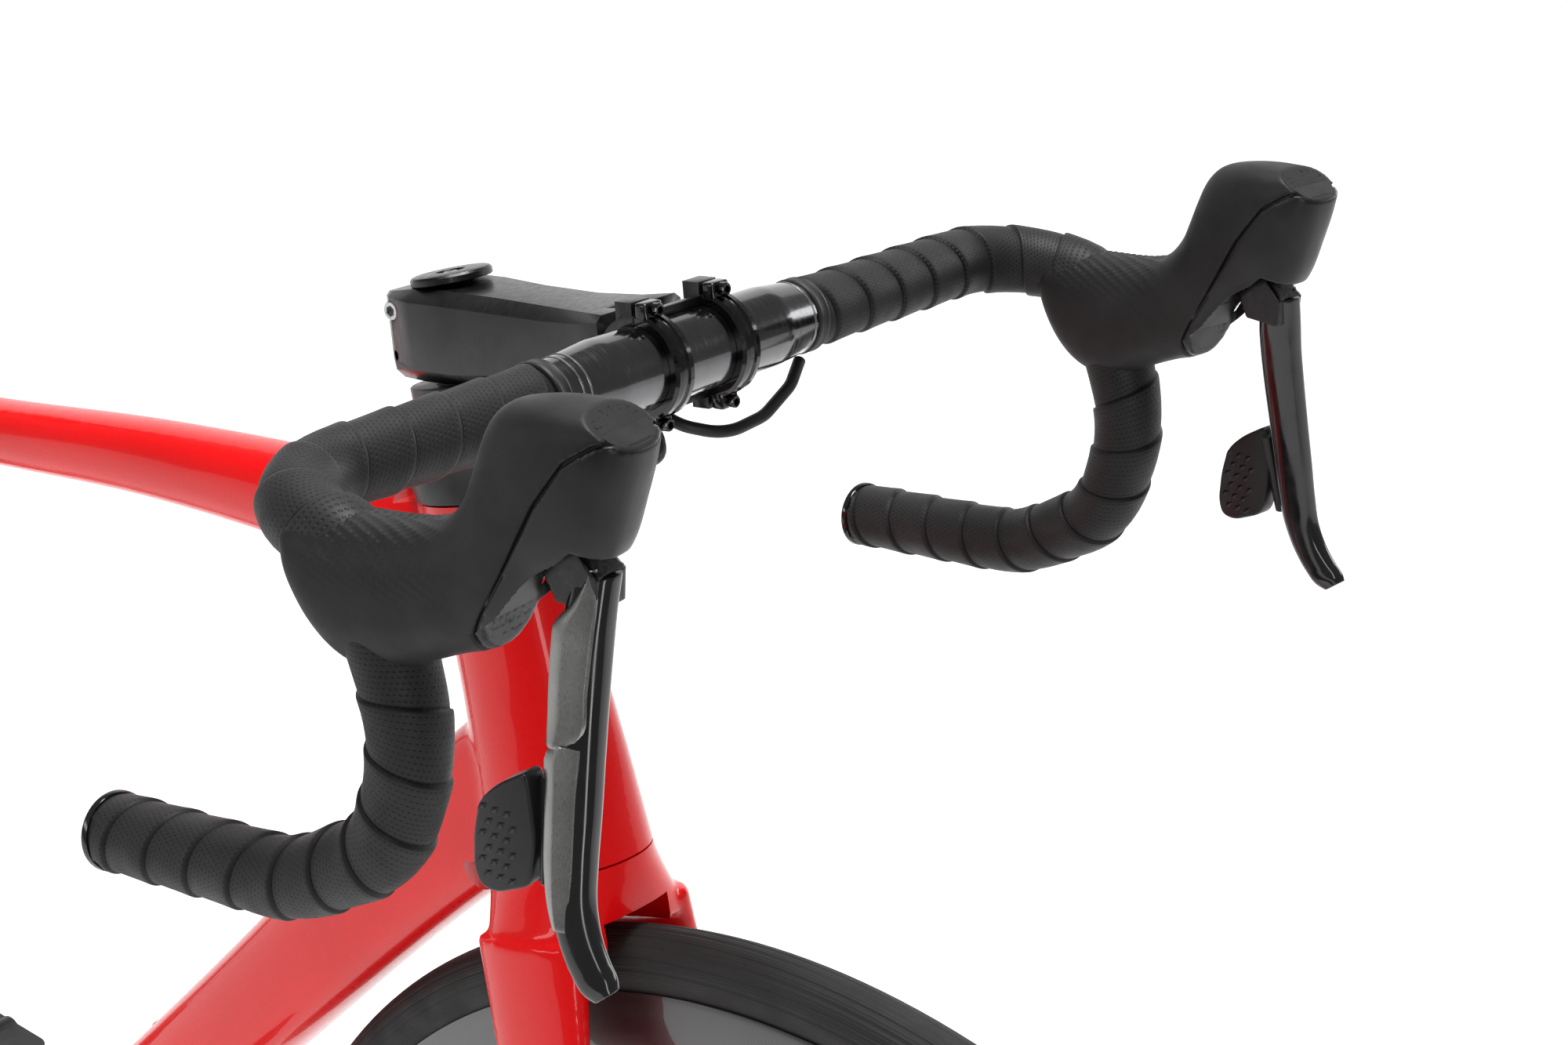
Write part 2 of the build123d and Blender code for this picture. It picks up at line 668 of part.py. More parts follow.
def belt_outline(wheels, away):
    """A closed loop around wheels (centre x, z, radius, sense)."""
    edges = []
    touches = []
    count = len(wheels)
    for i in range(count):
        xa, za, ra, sa = wheels[i]
        xb, zb, rb, sb = wheels[(i + 1) % count]
        ra = sa * ra + away
        rb = sb * rb + away
        far = sqrt((xb - xa) ** 2 + (zb - za) ** 2)
        heading = atan2(zb - za, xb - xa) - asin((rb - ra) / far)
        nx, nz = -sin(heading), cos(heading)
        touches.append(((xa - ra * nx, za - ra * nz), (xb - rb * nx, zb - rb * nz)))
    for i in range(count):
        start = touches[i - 1][1]
        end = touches[i][0]
        cx, cz, radius, sense = wheels[i]
        first = atan2(start[1] - cz, start[0] - cx)
        last = atan2(end[1] - cz, end[0] - cx)
        if sense > 0 and last < first:
            last += 2 * pi
        if sense < 0 and last > first:
            last -= 2 * pi
        half = (first + last) / 2
        reach = abs(sense * radius + away)
        middle = (cx + reach * cos(half), cz + reach * sin(half))
        edges.append(ThreePointArc(start, middle, end))
        edges.append(Line(end, touches[i][1]))
    return edges


def chain_wheels():
    return [
        (BB.X, BB.Z, pitch_radius(BIG_RING), 1),
        (REAR_AXLE.X, REAR_AXLE.Z, pitch_radius(COGS[CHAIN_COG]), 1),
        (GUIDE.X, GUIDE.Z, pitch_radius(PULLEY_TEETH[0]), -1),
        (TENSION.X, TENSION.Z, pitch_radius(PULLEY_TEETH[1]), 1),
    ]


PLATE_INNER = 1.25
PLATE_THICK = 1.3
PLATE_HALF = 4.0


def make_chain():
    """Two bands of side plates, joined by pins along the free upper run."""
    outer = make_face(Curve() + belt_outline(chain_wheels(), PLATE_HALF))
    inner = make_face(Curve() + belt_outline(chain_wheels(), -PLATE_HALF))
    band = outer - inner
    flat = Plane(origin=(0, 0, 0), x_dir=(1, 0, 0), z_dir=(0, -1, 0))
    chain = Part()
    for side in (-1, 1):
        middle = CHAIN_Y + side * (PLATE_INNER + PLATE_THICK / 2)
        chain = chain + extrude(Pos(0, middle, 0) * (flat * band), PLATE_THICK / 2, both=True)
    ring_r = pitch_radius(BIG_RING)
    cog_r = pitch_radius(COGS[CHAIN_COG])
    far = (BB - REAR_AXLE).length
    heading = atan2(REAR_AXLE.Z - BB.Z, REAR_AXLE.X - BB.X) - asin((cog_r - ring_r) / far)
    off = Vector(sin(heading), 0, -cos(heading))
    start = Vector(BB.X, 0, BB.Z) + off * ring_r
    end = REAR_AXLE + off * cog_r
    for i in range(14):
        place = start + (end - start) * (0.20 + 0.0425 * i)
        chain = chain + disc(place, 1.9, CHAIN_Y - PLATE_INNER - 1, CHAIN_Y + PLATE_INNER + 1)
    return chain


# ---------------------------------------------------------------- derailleurs
GUIDE = Vector(REAR_AXLE.X + 8, 0, REAR_AXLE.Z - 92)
TENSION = Vector(REAR_AXLE.X + 14, 0, REAR_AXLE.Z - 148)
LINK_UPPER = Vector(REAR_AXLE.X - 16, -93, REAR_AXLE.Z - 44)
LINK_LOWER = Vector(REAR_AXLE.X - 16, -77, REAR_AXLE.Z - 76)
LINK_HALF = 13.0
LINK_EYE = 6.5
LINK_PIN = 2.5
CAGE_PLATE = 1.6
CAGE_OFFSET = 4.6


def cross_pin(place, half, radius):
    return rod(place - Vector(half, 0, 0), place + Vector(half, 0, 0), radius)


def make_rd_body():
    """The hanger bolt, the motor and battery case, and the ears of the link."""
    low = -REAR_OLD / 2 - GAP - 8
    bolt = disc(HANGER, HANGER_BORE - RUN, low - 6, -REAR_OLD / 2 - GAP)
    head = disc(HANGER, 9, low - 16, low - GAP)
    body = bolt + head
    case = block(LINK_UPPER + Vector(-2, 1, 14), Vector(1, 0, 0), Vector(0, 0, 1), (38, 22, 16))
    case = fillet(case.edges().filter_by(Axis.Z), 6)
    battery = block(LINK_UPPER + Vector(-28, 1, 6), Vector(1, 0, 0), Vector(0, 0, 1), (19.5, 26, 34))
    body = body + case + battery
    for side in (-1, 1):
        ear = LINK_UPPER + Vector(side * (LINK_HALF + GAP + 2), 0, 0)
        body = body + rod(ear - Vector(2, 0, 0), ear + Vector(2, 0, 0), LINK_EYE)
        body = body + block(ear + Vector(0, 0, 4), Vector(1, 0, 0), Vector(0, 0, 1), (4, 2 * LINK_EYE, 8))
    body = body + cross_pin(LINK_UPPER, LINK_HALF + 3, LINK_PIN)
    return body


def make_rd_link():
    link = cross_pin(LINK_UPPER, LINK_HALF, 5.5) + cross_pin(LINK_LOWER, LINK_HALF, 5.5)
    run = (LINK_LOWER - LINK_UPPER).normalized()
    middle = (LINK_LOWER + LINK_UPPER) * 0.5
    length = (LINK_LOWER - LINK_UPPER).length
    link = link + block(middle, Vector(1, 0, 0), run, (2 * LINK_HALF, 8, length))
    link = link - cross_pin(LINK_UPPER, 30, LINK_PIN + RUN) - cross_pin(LINK_LOWER, 30, LINK_PIN + RUN)
    return link


def make_rd_knuckle():
    """The lower ears and the housing of the cage's spring."""
    knuckle = cross_pin(LINK_LOWER, LINK_HALF + 3, LINK_PIN)
    for side in (-1, 1):
        ear = LINK_LOWER + Vector(side * (LINK_HALF + GAP + 2), 0, 0)
        knuckle = knuckle + rod(ear - Vector(2, 0, 0), ear + Vector(2, 0, 0), LINK_EYE)
        knuckle = knuckle + upright_block(ear - Vector(0, 0, 7), (4, 2 * LINK_EYE, 14))
    floor = LINK_LOWER - Vector(0, 0, 13)
    knuckle = knuckle + block(floor, Vector(1, 0, 0), Vector(0, 0, 1), (2 * LINK_HALF + 8, 2 * LINK_EYE, 7))
    low = LINK_LOWER.Y - 12
    knuckle = knuckle + disc(GUIDE, 12, low, CAGE_OUTER - GAP)
    return knuckle + disc(GUIDE, 4, CAGE_OUTER - GAP, CHAIN_Y + 3)


CAGE_OUTER = CHAIN_Y - CAGE_OFFSET - CAGE_PLATE


def cage_plate(low, high):
    run = (TENSION - GUIDE).normalized()
    side = Vector(-run.Z, 0, run.X)
    outline = []
    for centre, sign in ((GUIDE, -1), (TENSION, 1)):
        for i in range(7):
            turn = radians(-90 + 30 * i)
            point = centre + run * (sign * cos(turn) * 13) + side * (sign * sin(turn) * 13)
            outline.append((point.X, point.Z))
    return plate(outline, low, high)


def make_rd_cage():
    outer = cage_plate(CAGE_OUTER, CAGE_OUTER + CAGE_PLATE)
    inner = cage_plate(CHAIN_Y + CAGE_OFFSET, CHAIN_Y + CAGE_OFFSET + CAGE_PLATE)
    cage = outer + inner - disc(GUIDE, 4 + RUN, -80, 0)
    cage = cage + disc(TENSION, 3.5, CAGE_OUTER + 1, CHAIN_Y + CAGE_OFFSET + 1)
    return cage


def make_pulley(centre, teeth, hole):
    wheel = sprocket(centre, teeth, CHAIN_Y - 0.9, CHAIN_Y + 0.9, hole)
    return wheel + ring(centre, 9, hole, CHAIN_Y - 3.2, CHAIN_Y + 3.2)


FD_PIVOT = Vector(BB.X - 42, CHAIN_Y + 14, BB.Z + 150)
CAGE_LOW = 112.5
CAGE_HIGH = 128.0


def make_fd_body():
    """The mount on the seat tube, the motor and its battery."""
    seat = BB + SEAT_UP * 158
    arm = block(seat + Vector(-6, -19.5, 2), SEAT_AHEAD, SEAT_UP, (22, 13, 24))
    case = block(FD_PIVOT + Vector(-2, 2, 20), Vector(1, 0, 0), Vector(0, 0, 1), (44, 20, 24))
    case = fillet(case.edges().filter_by(Axis.Y), 5)
    body = arm + case
    for side in (-1, 1):
        ear = FD_PIVOT + Vector(side * 15.3, 0, 0)
        body = body + rod(ear - Vector(2, 0, 0), ear + Vector(2, 0, 0), 5)
        body = body + block(ear + Vector(0, 0, 5), Vector(1, 0, 0), Vector(0, 0, 1), (4, 10, 10))
    body = body + cross_pin(FD_PIVOT, 16, 2)
    return body - spar(list(SEAT_TUBE), -GAP)


def make_fd_cage():
    """Two curved plates around the chain, over the big ring."""
    place = Plane(origin=(BB.X, 0, BB.Z), x_dir=(1, 0, 0), z_dir=(0, -1, 0))
    wedge = Polygon((0, 0), (10, 200), (-160, 150), align=None)
    arc = (Circle(CAGE_HIGH) - Circle(CAGE_LOW)) & wedge
    cage = Part()
    for side in (-1, 1):
        cage = cage + extrude(Pos(0, CHAIN_Y + side * 5.2, 0) * (place * arc), 0.8, both=True)
    top_wedge = Polygon((0, 0), (-14, 200), (-90, 180), align=None)
    bridge = (Circle(CAGE_HIGH) - Circle(CAGE_HIGH - 2.5)) & top_wedge
    cage = cage + extrude(Pos(0, CHAIN_Y, 0) * (place * bridge), 6, both=True)
    cage = cage + cross_pin(FD_PIVOT, 13, 5)
    arm = upright_block(FD_PIVOT - Vector(0, 0, 17), (22, 8, 30))
    foot_middle = Vector(FD_PIVOT.X, (FD_PIVOT.Y + CHAIN_Y + 5) / 2, FD_PIVOT.Z - 29)
    foot = upright_block(foot_middle, (22, FD_PIVOT.Y - CHAIN_Y + 1, 6))
    return cage + arm + foot - cross_pin(FD_PIVOT, 30, 2 + RUN)


# ---------------------------------------------------------------- seat
POST_HEAD = BB + SEAT_UP * ((SADDLE_TOP - 66 - BB.Z) / SEAT_UP.Z)
RAIL_RADIUS = 3.5
RAIL_HALF = 22.0
RAIL_Z = SADDLE_TOP - 50


def make_seatpost():
    low = SEAT_TOP - SEAT_UP * (POST_DEPTH - 62)
    post = rod(low, POST_HEAD, POST_RADIUS)
    post = post - rod(low - SEAT_UP, POST_HEAD - SEAT_UP * 25, POST_RADIUS - 2.4)
    head = Pos(POST_HEAD.X + 2, 0, POST_HEAD.Z) * Box(34, 42, 12)
    return post + head


def make_saddle_clamp():
    low = POST_HEAD.Z + 6
    clamp = Pos(POST_HEAD.X + 2, 0, (low + RAIL_Z + 8) / 2) * Box(38, 56, RAIL_Z + 8 - low)
    for side in (-1, 1):
        clamp = clamp + disc_bolt(POST_HEAD.X + 2 + side * 12, RAIL_Z + 8)
    for side in (-1, 1):
        start = Vector(POST_HEAD.X - 60, side * RAIL_HALF, RAIL_Z)
        clamp = clamp - rod(start, start + Vector(130, 0, 0), RAIL_RADIUS + RUN)
    return clamp


def disc_bolt(x, z):
    return Pos(x, 0, z + 2) * Cylinder(4.5, 4)


def make_rails():
    """Two rails, with their ends turned up into the shell."""
    pieces = []
    for side in (-1, 1):
        nose = Vector(SADDLE_X + SADDLE_LENGTH / 2 - 34, side * 9, SADDLE_TOP - 33.6)
        front = Vector(SADDLE_X + 52, side * RAIL_HALF, RAIL_Z)
        rear = Vector(SADDLE_X - 60, side * RAIL_HALF, RAIL_Z)
        tail = Vector(SADDLE_X - 104, side * 34, SADDLE_TOP - 30.7)
        path = FilletPolyline(nose, front, rear, tail, radius=22)
        section = Plane(origin=nose, z_dir=(front - nose).normalized()) * Circle(RAIL_RADIUS)
        pieces.append(sweep(section, path))
    return pieces


SADDLE_X = POST_HEAD.X - 19.7
SADDLE_SECTIONS = (
    (134, 22, 20, -6),
    (112, 38, 26, -3),
    (40, 46, 28, 0),
    (-10, 66, 29, 0),
    (-62, 122, 30, 1),
    (-100, SADDLE_WIDTH, 27, 1),
    (-134, 96, 18, 0),
)


def saddle_layer(top_drop, share, narrower):
    faces = []
    for x, width, thick, lift in SADDLE_SECTIONS:
        height = thick * share
        centre = Vector(SADDLE_X + x, 0, SADDLE_TOP + lift - 1 - top_drop * thick - height / 2)
        place = Plane(origin=centre, x_dir=(0, 1, 0), z_dir=(1, 0, 0))
        faces.append(place * RectangleRounded(width - narrower, height, height * 0.42))
    return loft(faces)


# ---------------------------------------------------------------- cockpit
SPACER_TOP = STEM_RISE - STEM_HEIGHT / 2


def make_headset_cover():
    """The drawn-out cover over the upper bearing, and its spacers."""
    low = HEAD_LENGTH + 1.2
    sections = ((low, 54, 68, -2), (low + 14, 50, 72, -4), (low + 26, 44, 66, -4))
    cover = loft([
        Plane(origin=head_point(rise, shift), x_dir=(0, 1, 0), z_dir=UP) * Ellipse(width / 2, depth / 2)
        for rise, width, depth, shift in sections
    ])
    bore = rod(head_point(low - 1), head_point(SPACER_TOP + 1), STEERER_RADIUS + RUN)
    spacer = Plane(origin=head_point(low + 26 + 0.1, -2), x_dir=(0, 1, 0), z_dir=UP) * Ellipse(20.5, 27)
    spacers = extrude(spacer, SPACER_TOP - low - 26.2)
    return cover - bore, spacers - bore


def make_stem():
    height = STEM_HEIGHT
    back = STEM_CENTRE
    barrel = rod(head_point(SPACER_TOP), head_point(SPACER_TOP + height), 20.5)
    sections = (
        (6, 40, height - 2),
        (34, 36, height - 5),
        (72, 38, height - 6),
        (STEM_LENGTH - 17.5, 48, height - 1),
    )
    faces = []
    for along, width, depth in sections:
        place = Plane(origin=back + STEM_AHEAD * along, x_dir=(0, 1, 0), z_dir=STEM_AHEAD)
        faces.append(place * RectangleRounded(width, depth, 7))
    front = rod(CLAMP - Vector(0, 24, 0), CLAMP + Vector(0, 24, 0), BAR_CLAMP_RADIUS + 3.6)
    behind = block(CLAMP - STEM_AHEAD * 20, STEM_AHEAD, STEM_UP, (39.4, 60, 60))
    stem = barrel + loft(faces) + (front & behind)
    stem = stem + block(back - STEM_AHEAD * 19, AHEAD, UP, (16, 30, height))
    for side in (-1, 1):
        for level in (-1, 1):
            ear = CLAMP + STEM_UP * (level * EAR_RISE) - STEM_AHEAD * 4.3 + Vector(0, side * FACE_Y, 0)
            stem = stem + block(ear, STEM_AHEAD, STEM_UP, (8, FACE_WIDTH, EAR_HEIGHT))
    stem = stem - rod(head_point(SPACER_TOP - 9), head_point(SPACER_TOP + height + 9), STEERER_RADIUS + RUN)
    stem = stem - rod(CLAMP - Vector(0, 60, 0), CLAMP + Vector(0, 60, 0), BAR_CLAMP_RADIUS + RUN)
    stem = stem - block(back - STEM_AHEAD * 24, AHEAD, UP, (30, 2, height + 20))
    trim = block(head_point(SPACER_TOP + height + 15), AHEAD, UP, (160, 80, 30))
    trim_low = block(head_point(SPACER_TOP - 15, -12), AHEAD, UP, (90, 80, 30))
    return stem - trim - trim_low


FACE_WIDTH = 10.0
EAR_RISE = BAR_CLAMP_RADIUS + 4.9
EAR_HEIGHT = 7.5
FACE_Y = 18.5


def make_faceplates():
    """Two separate bands around the front of the bar."""
    bands = []
    for side in (-1, 1):
        low = side * FACE_Y - FACE_WIDTH / 2
        band = ring(CLAMP, BAR_CLAMP_RADIUS + 4.2, BAR_CLAMP_RADIUS + RUN, low, low + FACE_WIDTH)
        ahead = block(CLAMP + STEM_AHEAD * 30, STEM_AHEAD, STEM_UP, (59.4, 200, 80))
        band = band & ahead
        for level in (-1, 1):
            ear = CLAMP + STEM_UP * (level * EAR_RISE) + STEM_AHEAD * 3.3 + Vector(0, side * FACE_Y, 0)
            lug = block(ear, STEM_AHEAD, STEM_UP, (6, FACE_WIDTH, EAR_HEIGHT))
            band = band + lug
        bands.append(band - rod(CLAMP - Vector(0, 60, 0), CLAMP + Vector(0, 60, 0), BAR_CLAMP_RADIUS + RUN))
    return bands


def make_stem_hardware():
    """The top cap and the heads of the clamp bolts."""
    top = SPACER_TOP + STEM_HEIGHT
    cap = rod(head_point(top + 0.1), head_point(top + 4), 16.5)
    cap = cap - rod(head_point(top + 1.5), head_point(top + 5), 3)
    pieces = [cap]
    for side in (-1, 1):
        for level in (-1, 1):
            rise = BAR_CLAMP_RADIUS + 5.6
            place = CLAMP + STEM_UP * (level * rise) + STEM_AHEAD * 6.4 + Vector(0, side * FACE_Y, 0)
            pieces.append(rod(place, place + STEM_AHEAD * 3, 2.4))
    return pieces


def bar_points(side):
    """The corners of one half of the handlebar."""
    rows = (
        (0, 0, 0),
        (52, -1, -3),
        (73, -2, -62),
        (62, -1, -103),
        (20, 2, -130),
        (-69, 6, -143),
    )
    bends = [bar_point(x, side * (BAR_HALF + out), z) for x, out, z in rows]
    return [bar_point(0, 0, 0)] + bends


BAR_BENDS = (36, 20, 60, 40, 70)
TAPE_START = {-1: 78.0, 1: 71.0}


def bar_path(side, first_y):
    points = bar_points(side)
    start = bar_point(0, side * first_y, 0)
    return FilletPolyline(start, *points[1:], radius=list(BAR_BENDS))


def bar_tube(side, first_y, radius):
    place = Plane(origin=bar_point(0, side * first_y, 0), z_dir=(0, side, 0))
    return sweep(place * Circle(radius), bar_path(side, first_y))


def taper(y):
    """The bar's radius, given the distance from its middle."""
    share = min(1, max(0, (TAPER_END - y) / (TAPER_END - TAPER_START)))
    return BAR_RADIUS + (BAR_CLAMP_RADIUS - BAR_RADIUS) * share


TAPER_START = 46.0
TAPER_END = 86.0


def taper_rod(side, near, far, wider):
    start = bar_point(0, side * near, 0)
    end = bar_point(0, side * far, 0)
    return rod(start, end, taper(near) + wider, taper(far) + wider)


def make_handlebar():
    bar = rod(bar_point(0, -TAPER_START, 0), bar_point(0, TAPER_START, 0), BAR_CLAMP_RADIUS)
    for side in (-1, 1):
        bar = bar + taper_rod(side, TAPER_START, TAPER_END, 0)
        bar = bar + bar_tube(side, TAPER_END, BAR_RADIUS)
    return bar


def make_tape(side):
    tape = bar_tube(side, TAPE_START[side], BAR_RADIUS + TAPE_THICK)
    tape = tape - bar_tube(side, TAPER_END, BAR_RADIUS + RUN)
    return tape - taper_rod(side, TAPE_START[side] - 1, TAPER_END, RUN)


def make_trim():
    """End plugs and the bands that finish the tape."""
    pieces = []
    for side in (-1, 1):
        points = bar_points(side)
        out = (points[-1] - points[-2]).normalized()
        end = points[-1] + out * 0.2
        pieces.append(rod(end, end + out * 4, BAR_RADIUS + TAPE_THICK))
        near = side * (TAPE_START[side] - 0.3)
        far = side * (TAPE_START[side] - 7)
        band = rod(bar_point(0, near, 0), bar_point(0, far, 0), BAR_RADIUS + TAPE_THICK + 0.4)
        pieces.append(band - taper_rod(side, TAPER_START, TAPER_END, RUN))
    return pieces


HOOD_OUTLINE = (
    (27, 4), (49, 9), (68, 12), (86, 17), (97, 30), (104, 54), (117, 62), (137, 65), (150, 62), (158, 56),
    (155, 38), (148, 16), (130, 5), (117, -13), (105, -21), (92, -26), (70, -38), (58, -41), (44, -37),
    (34, -26), (28, -7),
)
HOOD_SHELL = (
    (161, 67), (147, 61), (137, 50), (126, 33), (114, 8), (103, -12), (103, -30), (165, -30),
)
HOOD_HALF = 17.0
LEVER_PIVOT = (125, 24)
SLOT_HALF = 13.5


def lever_frame(side):
    """Turns and moves an upright lever set onto its side of the bar."""
    heel = bar_point(27, side * (BAR_HALF + 1), 0)
    return Pos(heel) * Rot(0, 0, -side * LEVER_TURN) * Pos(-heel.X, 0, -heel.Z)


def outline_plate(points, half):
    shifted = [(CLAMP.X + x, CLAMP.Z + z) for x, z in points]
    return plate(shifted, -half, half)


def upright_body():
    outer = outline_plate(HOOD_OUTLINE, HOOD_HALF)
    shell = outer & outline_plate(HOOD_SHELL, HOOD_HALF)
    place = Plane(origin=(0, 0, 0), x_dir=(1, 0, 0), z_dir=(0, -1, 0))
    shifted = [(CLAMP.X + x, CLAMP.Z + z) for x, z in HOOD_OUTLINE]
    core_face = offset(Polygon(*shifted, align=None), -2.4)
    core = extrude(place * core_face, HOOD_HALF - 2.4, both=True)
    return shell + core, outer


def lever_slot():
    px, pz = LEVER_PIVOT
    centre = Vector(CLAMP.X + px, 0, CLAMP.Z + pz)
    slot = disc(centre, 9.5, -8.3, 8.3)
    throat = [
        (px - 9.5, pz),
        (px + 9.5, pz),
        (px + 44, 13),
        (px + 44, -60),
        (px - 26, -60),
        (px - 14, pz - 20),
    ]
    return slot + outline_plate(throat, SLOT_HALF)


LEVER_STATIONS = (
    (14, 137.5, 20, 15), (-8, 139, 22, 16), (-30, 142.5, 20, 16), (-60, 146.5, 20, 15),
    (-85, 151.5, 17, 13), (-103, 160.5, 11.5, 10),
)


def upright_lever():
    """A blade with its pivot eye."""
    px, pz = LEVER_PIVOT
    faces = []
    for z, x, depth, width in LEVER_STATIONS:
        lean = tan(radians(LEVER_FLARE)) * (14 - z)
        centre = bar_point(x, lean, z)
        place = Plane(origin=centre, x_dir=(1, 0, 0), z_dir=(0, 0, -1))
        faces.append(place * RectangleRounded(depth, width, 4.5))
    blade = loft(faces)
    eye = disc(Vector(CLAMP.X + px, 0, CLAMP.Z + pz), 8.5, -7.5, 7.5)
    neck = outline_plate([(px - 8.5, pz), (px + 8.5, pz), (px + 21, 14), (px + 21, 4), (px + 5, 4)], 7.5)
    blade = blade + eye + neck
    return blade - disc(Vector(CLAMP.X + px, 0, CLAMP.Z + pz), 2.5 + RUN, -20, 20)


def upright_pin():
    px, pz = LEVER_PIVOT
    return disc(Vector(CLAMP.X + px, 0, CLAMP.Z + pz), 2.5, -14, 14)


PADDLE_OUTLINE = (
    (126, -47), (112, -57), (104, -67), (102, -76), (103, -90), (106, -96), (111, -96), (126, -87),
    (129, -70),
)
PADDLE_WEB = ((120, -52), (131.8, -52), (137.6, -80), (120, -84))
PADDLE_AXIS = ((131.8, -50), (138.2, -82))
PADDLE_BARREL = 2.4


def upright_paddle():
    """A flat paddle behind the blade."""
    (top_x, top_z), (low_x, low_z) = PADDLE_AXIS
    lean = tan(radians(LEVER_FLARE))
    top = bar_point(top_x, lean * (14 - top_z), top_z)
    low = bar_point(low_x, lean * (14 - low_z), low_z)
    flat = outline_plate(PADDLE_OUTLINE, 4.5) + outline_plate(PADDLE_WEB, 2.2)
    return Pos(0, lean * (14 + 70), 0) * flat + rod(top, low, PADDLE_BARREL)


def make_levers():
    """Body with its pin, hood, blade and paddle of each side."""
    sets = {}
    body, outer = upright_body()
    slot = lever_slot()
    blade = upright_lever()
    paddle = upright_paddle()
    for side, name in ((1, "left"), (-1, "right")):
        place = lever_frame(side)
        flip = (lambda s: s) if side > 0 else mirrored
        tape = bar_tube(side, TAPER_END, BAR_RADIUS + TAPE_THICK + RUN)
        this_body = place * flip(body - slot + upright_pin())
        this_hood = place * flip(outer - body - slot - outline_plate(HOOD_SHELL, 30))
        sets[name] = {
            "body": this_body - tape,
            "hood": this_hood - tape,
            "blade": place * flip(blade),
            "paddle": place * flip(paddle),
        }
    return sets


HOSE_RADIUS = 2.5
HOSE_ROUTE = ((7, 57, -24), (10, 38, -31), (8, 18, -34), (-4, 7, -31), (-16, 4, -27))


def make_hoses():
    """A brake hose on each side, from the tape to under the stem."""
    pieces = []
    for side in (-1, 1):
        route = ((2, TAPE_START[side] - 3, -17.8),) + HOSE_ROUTE
        points = [bar_point(x, side * y, z) for x, y, z in route]
        path = FilletPolyline(*points, radius=[22, 22, 20, 16])
        place = Plane(origin=points[0], z_dir=(points[1] - points[0]).normalized())
        pieces.append(sweep(place * Circle(HOSE_RADIUS), path))
    return pieces


def make_all():
    save("frame", make_frame())
    save("headset_bearings", *make_headset_bearings())
    save("seat_clamp", make_seat_clamp())
    save("bb_bearings", *make_bb_bearings())
    save("fork", make_fork())
    front_body, front_pads = make_front_brake()
    rear_body, rear_pads = make_rear_brake()
    save("front_caliper", front_body)
    save("rear_caliper", rear_body)
    for name, pads in (("front", front_pads), ("rear", rear_pads)):
        save(f"{name}_pad_right", pads[0])
        save(f"{name}_pad_left", pads[1])
    save("front_rotor", make_rotor(FRONT_AXLE, FRONT_ROTOR, FRONT_ROTOR_Y))
    save("rear_rotor", make_rotor(REAR_AXLE, REAR_ROTOR, REAR_ROTOR_Y))
    for name, axle in (("front", FRONT_AXLE), ("rear", REAR_AXLE)):
        save(f"{name}_rim", make_rim(axle))
        save(f"{name}_tyre", make_tyre(axle))
    save("front_spokes", *make_spokes(FRONT_AXLE, FRONT_FLANGES))
    save("rear_spokes", *make_spokes(REAR_AXLE, REAR_FLANGES))
    save("front_hub", make_hub(FRONT_AXLE, FRONT_OLD, FRONT_FLANGES, FRONT_ROTOR_Y, False))
    save("rear_hub", make_hub(REAR_AXLE, REAR_OLD, REAR_FLANGES, REAR_ROTOR_Y, True))
    save("front_axle", make_axle(FRONT_AXLE, FRONT_OLD, 11.3))
    save("rear_axle", make_axle(REAR_AXLE, REAR_OLD, 8.5))
    save("cassette", make_cassette())
    save("chainrings", make_chainrings())
    save("chain", make_chain())
    save("right_crank", make_right_crank())
    save("left_crank", make_crank(1, -1))
    save("right_pedal", make_pedal(-1, 1))
    save("left_pedal", make_pedal(1, -1))
    save("rd_body", make_rd_body())
    save("rd_link", make_rd_link())
    save("rd_knuckle", make_rd_knuckle())
    save("rd_cage", make_rd_cage())
    save("rd_guide_pulley", make_pulley(GUIDE, PULLEY_TEETH[0], 4 + RUN))
    save("rd_tension_pulley", make_pulley(TENSION, PULLEY_TEETH[1], 3.5 + RUN))
    save("fd_body", make_fd_body())
    save("fd_cage", make_fd_cage())
    save("seatpost", make_seatpost())
    save("saddle_clamp", make_saddle_clamp())
    save("saddle_rails", *make_rails())
    save("saddle_shell", saddle_layer(0.72, 0.26, 14))
    save("saddle_cover", saddle_layer(0.0, 0.70, 0))
    save("headset_cover", *make_headset_cover())
    save("stem", make_stem())
    save("stem_faceplates", *make_faceplates())
    save("stem_hardware", *make_stem_hardware())
    save("handlebar", make_handlebar())
    save("bar_tape_trim", *make_trim())
    save("brake_hoses", *make_hoses())
    for name, pieces in make_levers().items():
        save(f"{name}_lever_body", pieces["body"])
        save(f"{name}_hood", pieces["hood"])
        save(f"{name}_brake_lever", pieces["blade"])
        save(f"{name}_shift_paddle", pieces["paddle"])
    save("left_bar_tape", make_tape(1))
    save("right_bar_tape", make_tape(-1))


make_all()
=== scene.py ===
import math
from itertools import product

import bmesh
import bpy
import numpy as np
from mathutils import Matrix, Vector


